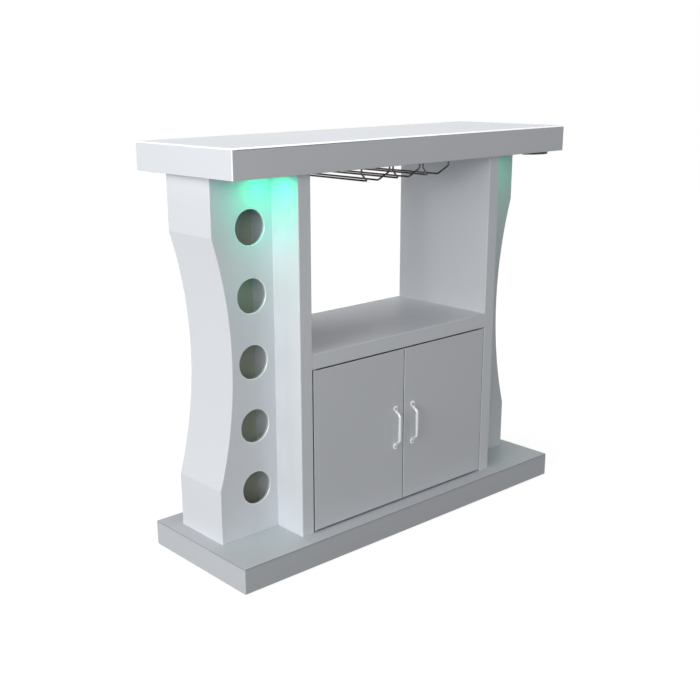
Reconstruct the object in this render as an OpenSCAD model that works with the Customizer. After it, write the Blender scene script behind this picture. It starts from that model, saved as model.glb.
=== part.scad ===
// Bar counter with shelves: a central cabinet with two doors, an open bay with a glass rack,
// and a curved bottle column at each end, on a thick base and under a thick countertop.
// Millimetres. X runs along the counter, Y from the bartender's side to the guests' side, Z is up.
// The origin is the middle of the footprint, on the floor. The doors face -Y.

/* [Countertop] */
// Length of the countertop
top_len = 1215; // [1180:1:1500]
// Depth of the countertop
top_depth = 402; // [396:1:500]
// Thickness of the countertop
top_h = 72; // [60:1:100]
// Height of the whole counter
total_h = 1100; // [1040:1:1200]
// Width of each batten inside the countertop
top_batten_w = 60; // [40:1:80]

/* [Base] */
// Length of the base
base_len = 1215; // [1180:1:1500]
// Depth of the base
base_depth = 402; // [402:1:500]
// Height of the base's top face above the floor
base_h = 72; // [60:1:100]
// Diameter of each floor glide
glide_d = 24; // [16:1:32]
// Height of each floor glide
glide_h = 3; // [2:0.5:6]
// Side of the square blocks in the base's corners
corner_block_w = 40; // [34:1:60]
// Width of each bearer under the seams of the base's top
bearer_w = 30; // [20:1:40]

/* [Boards] */
// Thickness of the boards of the base and the countertop and of the columns' backs
board_t = 15; // [12:1:18]
// Thickness of the skins of the cabinet sides, the shelf and the column ends
skin_t = 9; // [6:1:11]
// Radius of the rounded board edges
edge_r = 3; // [1:0.5:4]
// Gap at the seams between the boards of the base's top
seam_gap = 0.6; // [0.3:0.1:1.5]

/* [Cabinet] */
// Width over the outer faces of the cabinet's sides
cabinet_w = 754; // [700:1:800]
// Depth of the cabinet
cabinet_depth = 354; // [320:1:354]
// Distance of the cabinet's front behind the base's front
cabinet_setback = 48; // [36:1:48]
// Thickness of each cabinet side
side_t = 41; // [36:1:50]
// Depth of the posts inside the sides and of the lippings inside the shelf
post_d = 40; // [32:1:50]
// Height of the shelf's top face above the floor
shelf_z = 568; // [480:1:640]
// Thickness of the shelf
shelf_t = 42; // [36:1:50]
// Distance of the back panel in front of the cabinet's back
back_inset = 6; // [2:1:12]
// Diameter of the shelf dowels
dowel_d = 8; // [6:1:10]
// Length of the shelf dowels
dowel_len = 40; // [30:1:50]
// Length of each dowel inside the cabinet's side
dowel_bite = 18; // [14:1:22]

/* [Doors] */
// Thickness of the doors
door_t = 16; // [15:1:20]
// Gap between the doors, and between a door and the cabinet's side
door_gap = 3; // [3:0.5:5]
// Gap over the doors
door_top_gap = 3; // [2.5:0.5:5]
// Gap under the doors
door_low_gap = 5; // [4:0.5:8]
// Diameter of the hinge pins
pin_d = 5; // [4:0.5:6]
// Length of each hinge pin inside the board that holds it
pin_seat = 8; // [6:1:10]
// Outer diameter of the hinge bushes
bush_d = 8; // [7:0.5:9]
// Length of each hinge bush inside the door
bush_len = 12; // [10:1:20]
// Diameter of the flange of a bush and of the collar under it
bush_flange_d = 12; // [10:0.5:14]
// Thickness of the flange of a bush
bush_flange_t = 1.5; // [1:0.5:2]
// Width of the magnetic catch
catch_w = 44; // [36:1:60]
// Depth of the magnetic catch
catch_depth = 20; // [14:1:30]
// Height of the magnetic catch
catch_h = 13; // [12:1:20]
// Width of each strike plate
strike_w = 18; // [12:1:20]
// Height of each strike plate
strike_h = 9; // [6:1:9]
// Thickness of each strike plate
strike_t = 1.5; // [1:0.5:2]

/* [Handles] */
// Distance between the centres of a handle's feet
handle_pitch = 112; // [96:1:128]
// Height of a handle's middle above the door's lower edge
handle_rise = 223; // [150:1:300]
// Distance of a handle from the door's free edge
handle_inset = 32.5; // [25:0.5:60]
// Length of the straight grip
grip_len = 76; // [60:1:80]
// Diameter of the grip
grip_d = 9; // [7:0.5:11]
// Distance of the grip's middle from the door
grip_out = 18; // [16:1:30]
// Radius of the bends between the legs and the grip
handle_bend_r = 6; // [6:0.5:8]
// Diameter of a handle's round feet
foot_d = 17; // [14:0.5:20]
// Thickness of a handle's feet
foot_t = 4; // [3:0.5:5]
// Diameter of the neck between a foot and its leg
neck_d = 12; // [10:0.5:14]
// Distance from a foot's centre to its neck's centre
neck_shift = 10; // [9:0.5:12]
// Diameter of the handle screws
handle_screw_d = 3.5; // [3:0.5:4]
// Length of the handle screws under their heads
handle_screw_len = 16; // [12:1:18]
// Diameter of the heads of the handle screws
handle_head_d = 7; // [6:0.5:8]
// Height of the heads of the handle screws
handle_head_h = 2; // [1.5:0.5:2.5]

/* [Columns] */
// Reach of each column beyond the cabinet's side
column_reach = 188; // [170:1:200]
// Depth of each column
column_depth = 183; // [160:1:210]
// Distance of the columns' front behind the cabinet's front
column_setback = 103; // [80:1:120]
// Depth of the curve in each column's outer end
waist_sag = 50; // [20:1:60]
// Height of the straight stretch over and under the curve
waist_end = 150; // [100:1:200]
// Thickness of the panels with the bottle holes
hole_panel_t = 9; // [6:1:15]
// Diameter of the bottle holes
hole_d = 90; // [70:1:92]
// Number of bottle holes in a column
hole_count = 5; // [3:1:5]
// Distance between the centres of the bottle holes
hole_pitch = 172.8; // [120:0.1:180]
// Distance of the holes' centres from the cabinet's side
hole_inset = 70; // [60:1:75]
// Distance of the row's middle below the column's middle
hole_drop = 2; // [0:0.5:6]
// Side of the square cleats inside the columns
cleat_w = 18; // [14:1:24]
// Gap between a cleat and the walls at its ends
cleat_gap = 0.5; // [0.3:0.1:1]

/* [Carcass screws] */
// Diameter of the carcass screws
screw_d = 5; // [4:0.5:6]
// Length of the carcass screws under their heads
screw_len = 30; // [26:1:32]
// Diameter of the heads of the carcass screws
screw_head_d = 9.5; // [8:0.5:11]
// Height of the heads of the carcass screws
screw_head_h = 3; // [2:0.5:4]

/* [Glass rack] */
// Distance between the middles of two channels
rack_pitch = 113; // [106:1:120]
// Distance between the two rails of a channel
rack_slot = 40; // [30:1:44]
// Distance between the two uprights at a channel's mouth
rack_mouth = 100; // [90:1:100]
// Distance of the rails below the countertop
rack_drop = 39; // [36:1:60]
// Height of the flare at a channel's mouth
rack_flare_h = 21; // [16:1:22]
// Distance that the flare comes forward
rack_flare_out = 11; // [6:1:16]
// Length of the rails
rack_len = 289; // [200:1:300]
// Distance of the rails' front end behind the countertop's front
rack_setback = 62; // [50:1:80]
// Diameter of the rack wire
wire_d = 5; // [4:0.5:6]
// Radius of the bends in the wire
wire_bend_r = 7; // [6:0.5:8]
// Width of the rack's mounting bars
rack_bar_w = 20; // [16:1:25]
// Thickness of the rack's mounting bars
rack_bar_t = 2; // [1.5:0.5:4]
// Length of a mounting bar past the outer uprights
rack_bar_end = 12; // [8:1:20]
// Diameter of the rack screws
rack_screw_d = 3.5; // [3:0.5:4]
// Length of the rack screws under their heads
rack_screw_len = 14; // [12:1:16]
// Diameter of the heads of the rack screws
rack_head_d = 7.5; // [6:0.5:9]
// Height of the heads of the rack screws
rack_head_h = 2; // [1.5:0.5:3]

/* [Lamps] */
// Diameter of the lamps' housings
lamp_d = 60; // [50:1:70]
// Height of the lamps' housings
lamp_h = 9; // [8:0.5:12]
// Diameter of the lamps' lenses
lens_d = 50; // [42:1:50]
// Thickness of the lamps' lenses
lens_t = 3; // [2:0.5:4]
// Width of the ledge that a lens rests on
lens_ledge = 2; // [1:0.5:3]
// Depth of the hollow behind a lens
lamp_hollow = 3; // [2:0.5:4]
// Distance of the lamps' middle from the cabinet's side
lamp_side_gap = 50; // [40:1:60]
// Distance of the lamps' middle in front of the columns' face
lamp_face_gap = 53; // [40:1:60]
// Diameter of the circle that the bowed front of the lamp controller's case follows
case_d = 104; // [80:1:110]
// Depth of the lamp controller's case
case_depth = 40; // [30:1:42]
// Height of the lamp controller's case
case_h = 9; // [9:0.5:13]
// Distance of the case from the countertop's end
case_end_gap = 12; // [8:1:30]
// Distance of the case behind the countertop's front
case_setback = 20; // [14:1:26]
// Diameter of the round power inlet in the case
inlet_d = 5.5; // [4:0.1:6]
// Depth of the power inlet
inlet_depth = 9; // [8:0.5:12]

/* [Hidden] */

// Faces of a circle, and of the large circle that the columns' curve follows
$fn = 64;
curve_fn = 720;
// Sides of a bent rod, and steps of each of its bends
rod_sides = 12;
bend_steps = 6;
// Clearance round a fixed pin, screw or dowel, and round a turning hinge pin
fixed_fit = 0.05;
turning_fit = 0.05;
// Gap that keeps two seated pieces apart
seat_gap = 0.3;
// Overrun of a cut past the face that it opens
cut_over = 1;

lacquer = [0.93, 0.94, 0.95];
raw_board = [0.80, 0.70, 0.55];
bright_metal = [0.86, 0.87, 0.90];
grey_metal = [0.55, 0.56, 0.58];
dark_plastic = [0.06, 0.06, 0.07];
white_plastic = [0.90, 0.90, 0.90];
green_light = [0.45, 1.00, 0.80];

left = -1;
right = 1;

under_z = total_h - top_h;
base_front_y = -base_depth / 2;
top_front_y = -top_depth / 2;
outer_x = cabinet_w / 2;
inner_x = outer_x - side_t;
front_y = base_front_y + cabinet_setback;
back_y = front_y + cabinet_depth;
shelf_low_z = shelf_z - shelf_t;
post_x = outer_x - side_t / 2;
post_ys = [front_y + post_d / 2, back_y - post_d / 2];

column_front_y = front_y + column_setback;
column_back_y = column_front_y + column_depth;
column_h = under_z - base_h;
column_mid_z = base_h + column_h / 2;
waist_half = column_h / 2 - waist_end;
waist_r = (waist_half * waist_half + waist_sag * waist_sag) / (2 * waist_sag);
waist_x = outer_x + column_reach - waist_sag + waist_r;
hole_mid_z = column_mid_z - hole_drop;
hole_zs = [for (i = [0 : hole_count - 1]) hole_mid_z + (i - (hole_count - 1) / 2) * hole_pitch];
cleat_y = column_front_y + hole_panel_t;
cleat_screw_shares = [0.3, 0.8];
cleat_screw_xs = [for (share = cleat_screw_shares) outer_x + share * (column_reach - skin_t)];

door_low_z = base_h + door_low_gap;
door_high_z = shelf_low_z - door_top_gap;
door_in_x = door_gap / 2;
door_out_x = inner_x - door_gap;
hinge_x = door_out_x - door_t / 2;
hinge_y = front_y + door_t / 2;
handle_x = door_in_x + handle_inset;
handle_z = door_low_z + handle_rise;
pin_reach_share = 0.9;
pin_reach = pin_reach_share * bush_len;

rack_rail_z = under_z - rack_drop;
rack_rail_y = top_front_y + rack_setback;
rack_front_y = rack_rail_y - rack_flare_out;
rack_back_y = rack_rail_y + rack_len;
rack_xs = [-rack_pitch, 0, rack_pitch];

lamp_x = outer_x + lamp_side_gap;
lamp_y = column_front_y - lamp_face_gap;
case_x = top_len / 2 - case_end_gap - case_d / 2;
case_y = top_front_y + case_setback + case_d / 2;

function unit(v) = v / norm(v);
function swapped(points) = [for (p = points) [p.y, p.x]];

// Draws its children as they are on the right, or mirrored on the left
module on_side(side) {
    if (side == left) mirror([1, 0, 0]) children();
    else children();
}

// Extrudes a profile drawn in Y and Z along X
module along_x(low, high) {
    translate([low, 0, 0]) rotate([90, 0, 90]) linear_extrude(high - low) children();
}

// Extrudes a profile drawn in X and Z along Y
module along_y(low, high) {
    translate([0, high, 0]) rotate([90, 0, 0]) linear_extrude(high - low) children();
}

// Extrudes a plan upwards
module along_z(low, high) {
    translate([0, 0, low]) linear_extrude(high - low) children();
}

// A box between two opposite corners
module box(low, high) {
    translate(low) cube(high - low);
}

// A rectangle between two opposite corners, with rounded corners
module round_rect(low, high, r) {
    size = high - low;
    translate([low.x + r, low.y]) square([size.x - 2 * r, size.y]);
    translate([low.x, low.y + r]) square([size.x, size.y - 2 * r]);
    for (x = [low.x + r, high.x - r], y = [low.y + r, high.y - r]) translate([x, y]) circle(r);
}

// A block centred on the origin in plan, with all its edges rounded
module rounded_block(len, depth, low, high) {
    corner = [len / 2, depth / 2];
    intersection() {
        along_z(low, high) round_rect(-corner, corner, edge_r);
        along_x(-corner.x, corner.x) round_rect([-corner.y, low], [corner.y, high], edge_r);
        along_y(-corner.y, corner.y) round_rect([-corner.x, low], [corner.x, high], edge_r);
    }
}

// A slab's front rail: its ends and its top edge are mitred
module slab_rail(len, depth, low, high) {
    x = len / 2;
    y = depth / 2;
    intersection() {
        rounded_block(len, depth, low, high);
        along_z(low, high)
            polygon([[-x, -y], [x, -y], [x - board_t, board_t - y], [board_t - x, board_t - y]]);
        along_x(-x, x)
            polygon([[-y, low], [board_t - y, low], [board_t - y, high - board_t], [-y, high]]);
    }
}

// A slab's left rail is the front rail of the slab turned by a quarter
module slab_end_rail(len, depth, low, high) {
    rotate([0, 0, -90]) slab_rail(depth, len, low, high);
}

// A slab's top board: all four edges are mitred
module slab_board(len, depth, low, high) {
    x = len / 2;
    y = depth / 2;
    z = high - board_t;
    intersection() {
        rounded_block(len, depth, low, high);
        along_y(-y, y) polygon([[-x, high], [x, high], [x - board_t, z], [board_t - x, z]]);
        along_x(-x, x) polygon([[-y, high], [y, high], [y - board_t, z], [board_t - y, z]]);
    }
}

// Outlines of the pieces of a hollow panel that lies along its first axis: the two skins,
// and the posts at its two ends, which are mitred into the skins
function low_skin(a, b) = [a, [b.x, a.y], [b.x - skin_t, a.y + skin_t], [a.x + skin_t, a.y + skin_t]];
function high_skin(a, b) = [b, [a.x, b.y], [a.x + skin_t, b.y - skin_t], [b.x - skin_t, b.y - skin_t]];
function start_post(a, b) = [
    a, [a.x + skin_t, a.y + skin_t], [a.x + post_d, a.y + skin_t],
    [a.x + post_d, b.y - skin_t], [a.x + skin_t, b.y - skin_t], [a.x, b.y]
];
function end_post(a, b) = [
    b, [b.x - skin_t, b.y - skin_t], [b.x - post_d, b.y - skin_t],
    [b.x - post_d, a.y + skin_t], [b.x - skin_t, a.y + skin_t], [b.x, a.y]
];

// Shank and head of a screw that points up, with the head's underside at zero
module screw(d, len, head_d, head_h) {
    cylinder(d = d, h = len);
    translate([0, 0, -head_h]) cylinder(d = head_d, h = head_h);
}

// Places and directions along the bend at b, on the way from a to c
function bend_path(a, b, c, bend_r) =
    let(
        along = unit(b - a),
        onward = unit(c - b),
        turn = acos(along * onward),
        inward = unit(onward - (onward * along) * along),
        centre = b - bend_r * tan(turn / 2) * along + bend_r * inward
    )
    [for (i = [0 : bend_steps])
        let(angle = turn * i / bend_steps)
        [
            centre + bend_r * (sin(angle) * along - cos(angle) * inward),
            cos(angle) * along + sin(angle) * inward
        ]];

// Places and directions along a rod through points, with a bend at each corner
function rod_path(points, bend_r) =
    let(last = len(points) - 1)
    concat(
        [[points[0], unit(points[1] - points[0])]],
        [for (i = [1 : last - 1]) each bend_path(points[i - 1], points[i], points[i + 1], bend_r)],
        [[points[last], unit(points[last] - points[last - 1])]]
    );

// Directions square to the path, each the one before it laid square to the path's next direction
function path_sides(path, side, i = 0) =
    i == len(path) ? [] :
    let(next = unit(side - (side * path[i][1]) * path[i][1]))
    concat([next], path_sides(path, next, i + 1));

// A round rod through points, with a bend at each corner; side is square to its first stretch
module rod(points, bend_r, r, side) {
    path = rod_path(points, bend_r);
    sides = path_sides(path, side);
    rings = len(path);
    corners = [for (i = [0 : rings - 1], k = [0 : rod_sides - 1])
        let(angle = 360 * k / rod_sides)
        path[i][0] + r * (cos(angle) * sides[i] + sin(angle) * cross(path[i][1], sides[i]))];
    walls = [for (i = [0 : rings - 2], k = [0 : rod_sides - 1])
        let(
            a = i * rod_sides + k,
            b = i * rod_sides + (k + 1) % rod_sides
        )
        each [[a + rod_sides, b, a], [a + rod_sides, b + rod_sides, b]]];
    low_end = [for (k = [0 : rod_sides - 1]) k];
    high_end = [for (k = [0 : rod_sides - 1]) rings * rod_sides - 1 - k];
    polyhedron(corners, concat([low_end], walls, [high_end]));
}

// Places of the screws through the base's top and the countertop's underside
module at_post_screws() {
    for (side = [left, right], y = post_ys) translate([side * post_x, y, 0]) children();
}
module at_cleat_screws() {
    for (side = [left, right], x = cleat_screw_xs)
        translate([side * x, cleat_y + cleat_w / 2, 0]) children();
}

// The carcass screws, or the holes for them when they are made wider by the fit
module base_screws(fit) {
    at_post_screws() translate([0, 0, base_h - board_t])
        screw(screw_d + 2 * fit, screw_len + fit, screw_head_d, screw_head_h);
    at_cleat_screws() translate([0, 0, base_h - board_t])
        screw(screw_d + 2 * fit, screw_len + fit, screw_head_d, screw_head_h);
}
module top_screws(fit) {
    translate([0, 0, under_z + board_t]) mirror([0, 0, 1]) {
        at_post_screws() screw(screw_d + 2 * fit, screw_len + fit, screw_head_d, screw_head_h);
        at_cleat_screws() screw(screw_d + 2 * fit, screw_len + fit, screw_head_d, screw_head_h);
    }
}

// The shelf dowels, or the holes for them
module dowels(fit) {
    for (side = [left, right], y = post_ys)
        on_side(side) translate([inner_x + dowel_bite + fit, y, shelf_z - shelf_t / 2])
            rotate([0, -90, 0]) cylinder(d = dowel_d + 2 * fit, h = dowel_len + 2 * fit);
}

// The lower and the upper hinge pin of the right door, without the collar, or their holes
module pin_pair(fit) {
    translate([hinge_x, hinge_y, base_h - pin_seat - fit])
        cylinder(d = pin_d + 2 * fit, h = pin_seat + door_low_gap + pin_reach + fit);
    translate([hinge_x, hinge_y, door_high_z - pin_reach])
        cylinder(d = pin_d + 2 * fit, h = pin_seat + door_top_gap + pin_reach + fit);
}

module base_rail(low) {
    color(lacquer) slab_rail(base_len, base_depth, low, base_h);
}

module base_front_rail() {
    base_rail(glide_h);
}

module base_back_rail() {
    mirror([0, 1, 0]) base_rail(glide_h);
}

module base_end_rail(side) {
    color(lacquer) on_side(-side) slab_end_rail(base_len, base_depth, glide_h, base_h);
}

// One of the three boards of the base's top, between two places along the counter
module base_top(low, high) {
    color(lacquer) difference() {
        intersection() {
            slab_board(base_len, base_depth, glide_h, base_h);
            box([low, -base_depth, base_h - 2 * board_t], [high, base_depth, base_h + cut_over]);
        }
        base_screws(fixed_fit);
        for (side = [left, right]) on_side(side) pin_pair(fixed_fit);
    }
}

module base_top_middle() {
    base_top(-outer_x, outer_x);
}

module base_top_end(side) {
    on_side(side) base_top(outer_x + seam_gap, base_len);
}

// Bearers across the base, under the seams and beside the screws
module base_bearers() {
    low_x = post_x + screw_head_d / 2 + seat_gap;
    inside_y = base_depth / 2 - board_t;
    color(raw_board) for (side = [left, right]) on_side(side)
        box([low_x, -inside_y, glide_h], [low_x + bearer_w, inside_y, base_h - board_t]);
}

// Blocks in the inner corners of the base, which carry the glides
module base_corner_blocks() {
    x = base_len / 2 - board_t;
    y = base_depth / 2 - board_t;
    color(raw_board) for (side = [left, right], end = [0, 1])
        on_side(side) mirror([0, end, 0])
            box([x - corner_block_w, y - corner_block_w, glide_h], [x, y, base_h - board_t]);
}

module floor_glides() {
    corner_x = base_len / 2 - board_t - corner_block_w / 2;
    bearer_x = post_x + screw_head_d / 2 + seat_gap + bearer_w / 2;
    y = base_depth / 2 - board_t - corner_block_w / 2;
    color(dark_plastic) for (x = [-corner_x, -bearer_x, bearer_x, corner_x], end = [left, right])
        translate([x, end * y, 0]) cylinder(d = glide_d, h = glide_h);
}

// One piece of a cabinet side, from its outline as a function gives it
module side_piece(points) {
    color(lacquer) difference() {
        along_z(base_h, under_z) intersection() {
            round_rect([inner_x, front_y], [outer_x, back_y], edge_r);
            polygon(swapped(points));
        }
        dowels(fixed_fit);
        base_screws(fixed_fit);
        top_screws(fixed_fit);
    }
}

side_a = [front_y, inner_x];
side_b = [back_y, outer_x];

module side_outer(side) {
    on_side(side) side_piece(high_skin(side_a, side_b));
}

module side_inner(side) {
    on_side(side) side_piece(low_skin(side_a, side_b));
}

module side_posts(side) {
    on_side(side) {
        side_piece(start_post(side_a, side_b));
        side_piece(end_post(side_a, side_b));
    }
}

// One piece of the shelf
module shelf_piece(points) {
    color(lacquer) difference() {
        along_x(-inner_x, inner_x) intersection() {
            round_rect([front_y, shelf_low_z], [back_y, shelf_z], edge_r);
            polygon(points);
        }
        dowels(fixed_fit);
        for (side = [left, right]) on_side(side) pin_pair(fixed_fit);
    }
}

shelf_a = [front_y, shelf_low_z];
shelf_b = [back_y, shelf_z];

module shelf_top() {
    shelf_piece(high_skin(shelf_a, shelf_b));
}

module shelf_bottom() {
    shelf_piece(low_skin(shelf_a, shelf_b));
}

module shelf_front_lipping() {
    shelf_piece(start_post(shelf_a, shelf_b));
}

module shelf_back_lipping() {
    shelf_piece(end_post(shelf_a, shelf_b));
}

module shelf_dowels() {
    color(raw_board) dowels(0);
}

// Panel that closes the cabinet on the guests' side
module cabinet_back() {
    y = back_y - back_inset;
    color(lacquer) box([-inner_x, y - skin_t, base_h], [inner_x, y, shelf_low_z]);
}

// Screws of the right handle, or the holes for them
module handle_screw_pair(fit) {
    for (end = [left, right])
        translate([handle_x, front_y - foot_t, handle_z + end * handle_pitch / 2])
            rotate([-90, 0, 0])
                screw(handle_screw_d + 2 * fit, handle_screw_len + fit, handle_head_d, handle_head_h);
}

module door(side) {
    color(lacquer) on_side(side) difference() {
        along_z(door_low_z, door_high_z)
            round_rect([door_in_x, front_y], [door_out_x, front_y + door_t], edge_r);
        translate([hinge_x, hinge_y, door_low_z - cut_over])
            cylinder(d = bush_d + 2 * fixed_fit, h = bush_len + cut_over);
        translate([hinge_x, hinge_y, door_high_z - bush_len])
            cylinder(d = bush_d + 2 * fixed_fit, h = bush_len + cut_over);
        handle_screw_pair(fixed_fit);
    }
}

// Pull handle: two flat feet, two legs and a straight grip
module handle(side) {
    neck = handle_pitch / 2 - neck_shift;
    color(bright_metal) on_side(side) difference() {
        translate([handle_x, front_y, handle_z]) {
            rod([
                [0, -foot_t / 2, -neck], [0, -grip_out, -grip_len / 2],
                [0, -grip_out, grip_len / 2], [0, -foot_t / 2, neck]
            ], handle_bend_r, grip_d / 2, [1, 0, 0]);
            for (end = [left, right]) {
                translate([0, 0, end * handle_pitch / 2]) rotate([90, 0, 0])
                    cylinder(d = foot_d, h = foot_t);
                translate([0, 0, end * neck]) rotate([90, 0, 0]) cylinder(d = neck_d, h = foot_t);
            }
        }
        handle_screw_pair(fixed_fit);
    }
}

module handle_screws(side) {
    color(grey_metal) on_side(side) handle_screw_pair(0);
}

// Flanged bushes in the upper and the lower edge of a door
module hinge_bushes(side) {
    color(white_plastic) on_side(side) translate([hinge_x, hinge_y, 0]) {
        translate([0, 0, door_low_z - bush_flange_t]) hinge_bush();
        translate([0, 0, door_high_z + bush_flange_t]) mirror([0, 0, 1]) hinge_bush();
    }
}

module hinge_bush() {
    difference() {
        union() {
            cylinder(d = bush_flange_d, h = bush_flange_t);
            cylinder(d = bush_d, h = bush_flange_t + bush_len);
        }
        translate([0, 0, -cut_over])
            cylinder(d = pin_d + 2 * turning_fit, h = bush_flange_t + bush_len + 2 * cut_over);
    }
}

// Steel pins in the base's top and in the shelf; a collar on each lower pin carries the door
module hinge_pins() {
    collar_h = door_low_gap - bush_flange_t - seat_gap;
    color(grey_metal) for (side = [left, right]) on_side(side) {
        pin_pair(0);
        translate([hinge_x, hinge_y, base_h]) cylinder(d = bush_flange_d, h = collar_h);
    }
}

// Double magnetic catch under the shelf
module magnet_catch() {
    y = front_y + door_t + strike_t + seat_gap;
    color(white_plastic)
        box([-catch_w / 2, y, shelf_low_z - catch_h], [catch_w / 2, y + catch_depth, shelf_low_z]);
}

// Steel plate on a door's back, in front of the catch
module strike(side) {
    y = front_y + door_t;
    z = shelf_low_z - catch_h;
    color(grey_metal) on_side(side)
        box([catch_w / 2 - strike_w, y, z], [catch_w / 2, y + strike_t, z + strike_h]);
}

// Outline of the right column in X and Z, drawn in by an inset from its outer end
module column_outline(inset) {
    difference() {
        translate([outer_x, base_h]) square([column_reach - inset, column_h]);
        translate([waist_x, column_mid_z]) circle(waist_r + inset, $fn = curve_fn);
    }
}

module hole_panel(side) {
    color(lacquer) on_side(side) difference() {
        along_y(column_front_y, column_front_y + hole_panel_t) column_outline(0);
        for (z = hole_zs) translate([outer_x + hole_inset, column_front_y - cut_over, z])
            rotate([-90, 0, 0]) cylinder(d = hole_d, h = hole_panel_t + 2 * cut_over);
    }
}

// Board in the middle of the column's depth, which stops the bottles
module column_partition(side) {
    y = column_front_y + column_depth / 2 - skin_t / 2;
    color(lacquer) on_side(side) along_y(y, y + skin_t) column_outline(skin_t);
}

module column_back(side) {
    color(lacquer) on_side(side) along_y(column_back_y - board_t, column_back_y) column_outline(0);
}

// Bent board that closes the column's outer end, between its front and its back
module column_end(side) {
    color(lacquer) on_side(side)
        along_y(column_front_y + hole_panel_t, column_back_y - board_t) difference() {
            column_outline(0);
            column_outline(skin_t);
        }
}

// Cleats behind the hole panels, at the base and under the countertop
module column_cleats() {
    low_x = outer_x + cleat_gap;
    high_x = outer_x + column_reach - skin_t - cleat_gap;
    color(raw_board) difference() {
        for (side = [left, right], z = [base_h, under_z - cleat_w])
            on_side(side) box([low_x, cleat_y, z], [high_x, cleat_y + cleat_w, z + cleat_w]);
        base_screws(fixed_fit);
        top_screws(fixed_fit);
    }
}

module countertop_board() {
    color(lacquer) slab_board(top_len, top_depth, under_z, total_h);
}

module countertop_front() {
    color(lacquer) slab_rail(top_len, top_depth, under_z, total_h);
}

module countertop_back() {
    mirror([0, 1, 0]) countertop_front();
}

module countertop_end(side) {
    color(lacquer) on_side(-side) slab_end_rail(top_len, top_depth, under_z, total_h);
}

// Board between the countertop's rails, which lies on the cabinet and the columns
module countertop_underside() {
    corner = [top_len / 2 - board_t, top_depth / 2 - board_t, 0];
    color(lacquer) difference() {
        translate([0, 0, under_z]) box(-corner, corner + [0, 0, board_t]);
        top_screws(fixed_fit);
        rack_screw_set(fixed_fit);
    }
}

// Battens that hold the countertop's board over its underside
module top_battens() {
    y = top_depth / 2 - board_t;
    color(raw_board) for (x = [-cabinet_w / 4, 0, cabinet_w / 4])
        box(
            [x - top_batten_w / 2, -y, under_z + board_t],
            [x + top_batten_w / 2, y, total_h - board_t]
        );
}

module carcass_screws() {
    color(grey_metal) {
        base_screws(0);
        top_screws(0);
    }
}

// Round lamps under the countertop, in the corner between the cabinet and each column
module at_lamps() {
    for (side = [left, right]) translate([side * lamp_x, lamp_y, under_z - lamp_h]) children();
}

module lamp_housings() {
    color(white_plastic) at_lamps() difference() {
        cylinder(d = lamp_d, h = lamp_h);
        translate([0, 0, -cut_over]) cylinder(d = lens_d + 2 * fixed_fit, h = lens_t + cut_over);
        cylinder(d = lens_d - 2 * lens_ledge, h = lens_t + lamp_hollow);
    }
}

module lamp_lenses() {
    color(green_light) at_lamps() cylinder(d = lens_d, h = lens_t);
}

// Flat case of the lamp controller, with a bowed front and a round power inlet in its back
module controller_case() {
    case_back_y = case_depth - case_d / 2;
    color(dark_plastic) translate([case_x, case_y, under_z - case_h]) difference() {
        intersection() {
            cylinder(d = case_d, h = case_h);
            box([-case_d, -case_d, 0], [case_d, case_back_y, case_h]);
        }
        translate([0, case_back_y - inlet_depth, case_h / 2])
            rotate([-90, 0, 0]) cylinder(d = inlet_d, h = inlet_depth + cut_over);
    }
}

// Flat bars that the rack's wires are welded to, under the countertop
module rack_bars() {
    x = rack_pitch + rack_mouth / 2 + rack_bar_end;
    color(bright_metal) difference() {
        for (y = [rack_front_y, rack_back_y])
            box(
                [-x, y - rack_bar_w / 2, under_z - rack_bar_t],
                [x, y + rack_bar_w / 2, under_z]
            );
        rack_screw_set(fixed_fit);
    }
}

// Screws of the rack, one in the middle of each channel on both bars, or the holes for them
module rack_screw_set(fit) {
    for (x = rack_xs, y = [rack_front_y, rack_back_y])
        translate([x, y, under_z - rack_bar_t])
            screw(rack_screw_d + 2 * fit, rack_screw_len + fit, rack_head_d, rack_head_h);
}

// The two wires of a channel: each runs down, flares inwards, and runs back and up again
module rack_wires(x) {
    top_z = under_z - rack_bar_t;
    color(bright_metal) for (side = [left, right]) {
        mouth_x = x + side * rack_mouth / 2;
        rail_x = x + side * rack_slot / 2;
        rod([
            [mouth_x, rack_front_y, top_z], [mouth_x, rack_front_y, rack_rail_z + rack_flare_h],
            [rail_x, rack_rail_y, rack_rail_z], [rail_x, rack_back_y, rack_rail_z],
            [rail_x, rack_back_y, top_z]
        ], wire_bend_r, wire_d / 2, [1, 0, 0]);
    }
}

module rack_screws() {
    color(grey_metal) rack_screw_set(0);
}

base_front_rail();
base_back_rail();
base_end_rail(left);  // base_left_rail
base_end_rail(right);  // base_right_rail
base_top_end(left);  // base_top_left
base_top_middle();
base_top_end(right);  // base_top_right
base_bearers();
base_corner_blocks();
floor_glides();
side_outer(left);  // side_outer_left
side_inner(left);  // side_inner_left
side_posts(left);  // side_posts_left
side_outer(right);  // side_outer_right
side_inner(right);  // side_inner_right
side_posts(right);  // side_posts_right
shelf_top();
shelf_bottom();
shelf_front_lipping();
shelf_back_lipping();
shelf_dowels();
cabinet_back();
door(left);  // door_left
handle(left);  // handle_left
handle_screws(left);  // handle_screws_left
hinge_bushes(left);  // hinge_bushes_left
strike(left);  // strike_left
door(right);  // door_right
handle(right);  // handle_right
handle_screws(right);  // handle_screws_right
hinge_bushes(right);  // hinge_bushes_right
strike(right);  // strike_right
hinge_pins();
magnet_catch();
hole_panel(left);  // hole_panel_left
column_partition(left);  // column_partition_left
column_back(left);  // column_back_left
column_end(left);  // column_end_left
hole_panel(right);  // hole_panel_right
column_partition(right);  // column_partition_right
column_back(right);  // column_back_right
column_end(right);  // column_end_right
column_cleats();
countertop_board();
countertop_front();
countertop_back();
countertop_end(left);  // countertop_left
countertop_end(right);  // countertop_right
countertop_underside();
top_battens();
carcass_screws();
lamp_housings();
lamp_lenses();
controller_case();
rack_bars();
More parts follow.
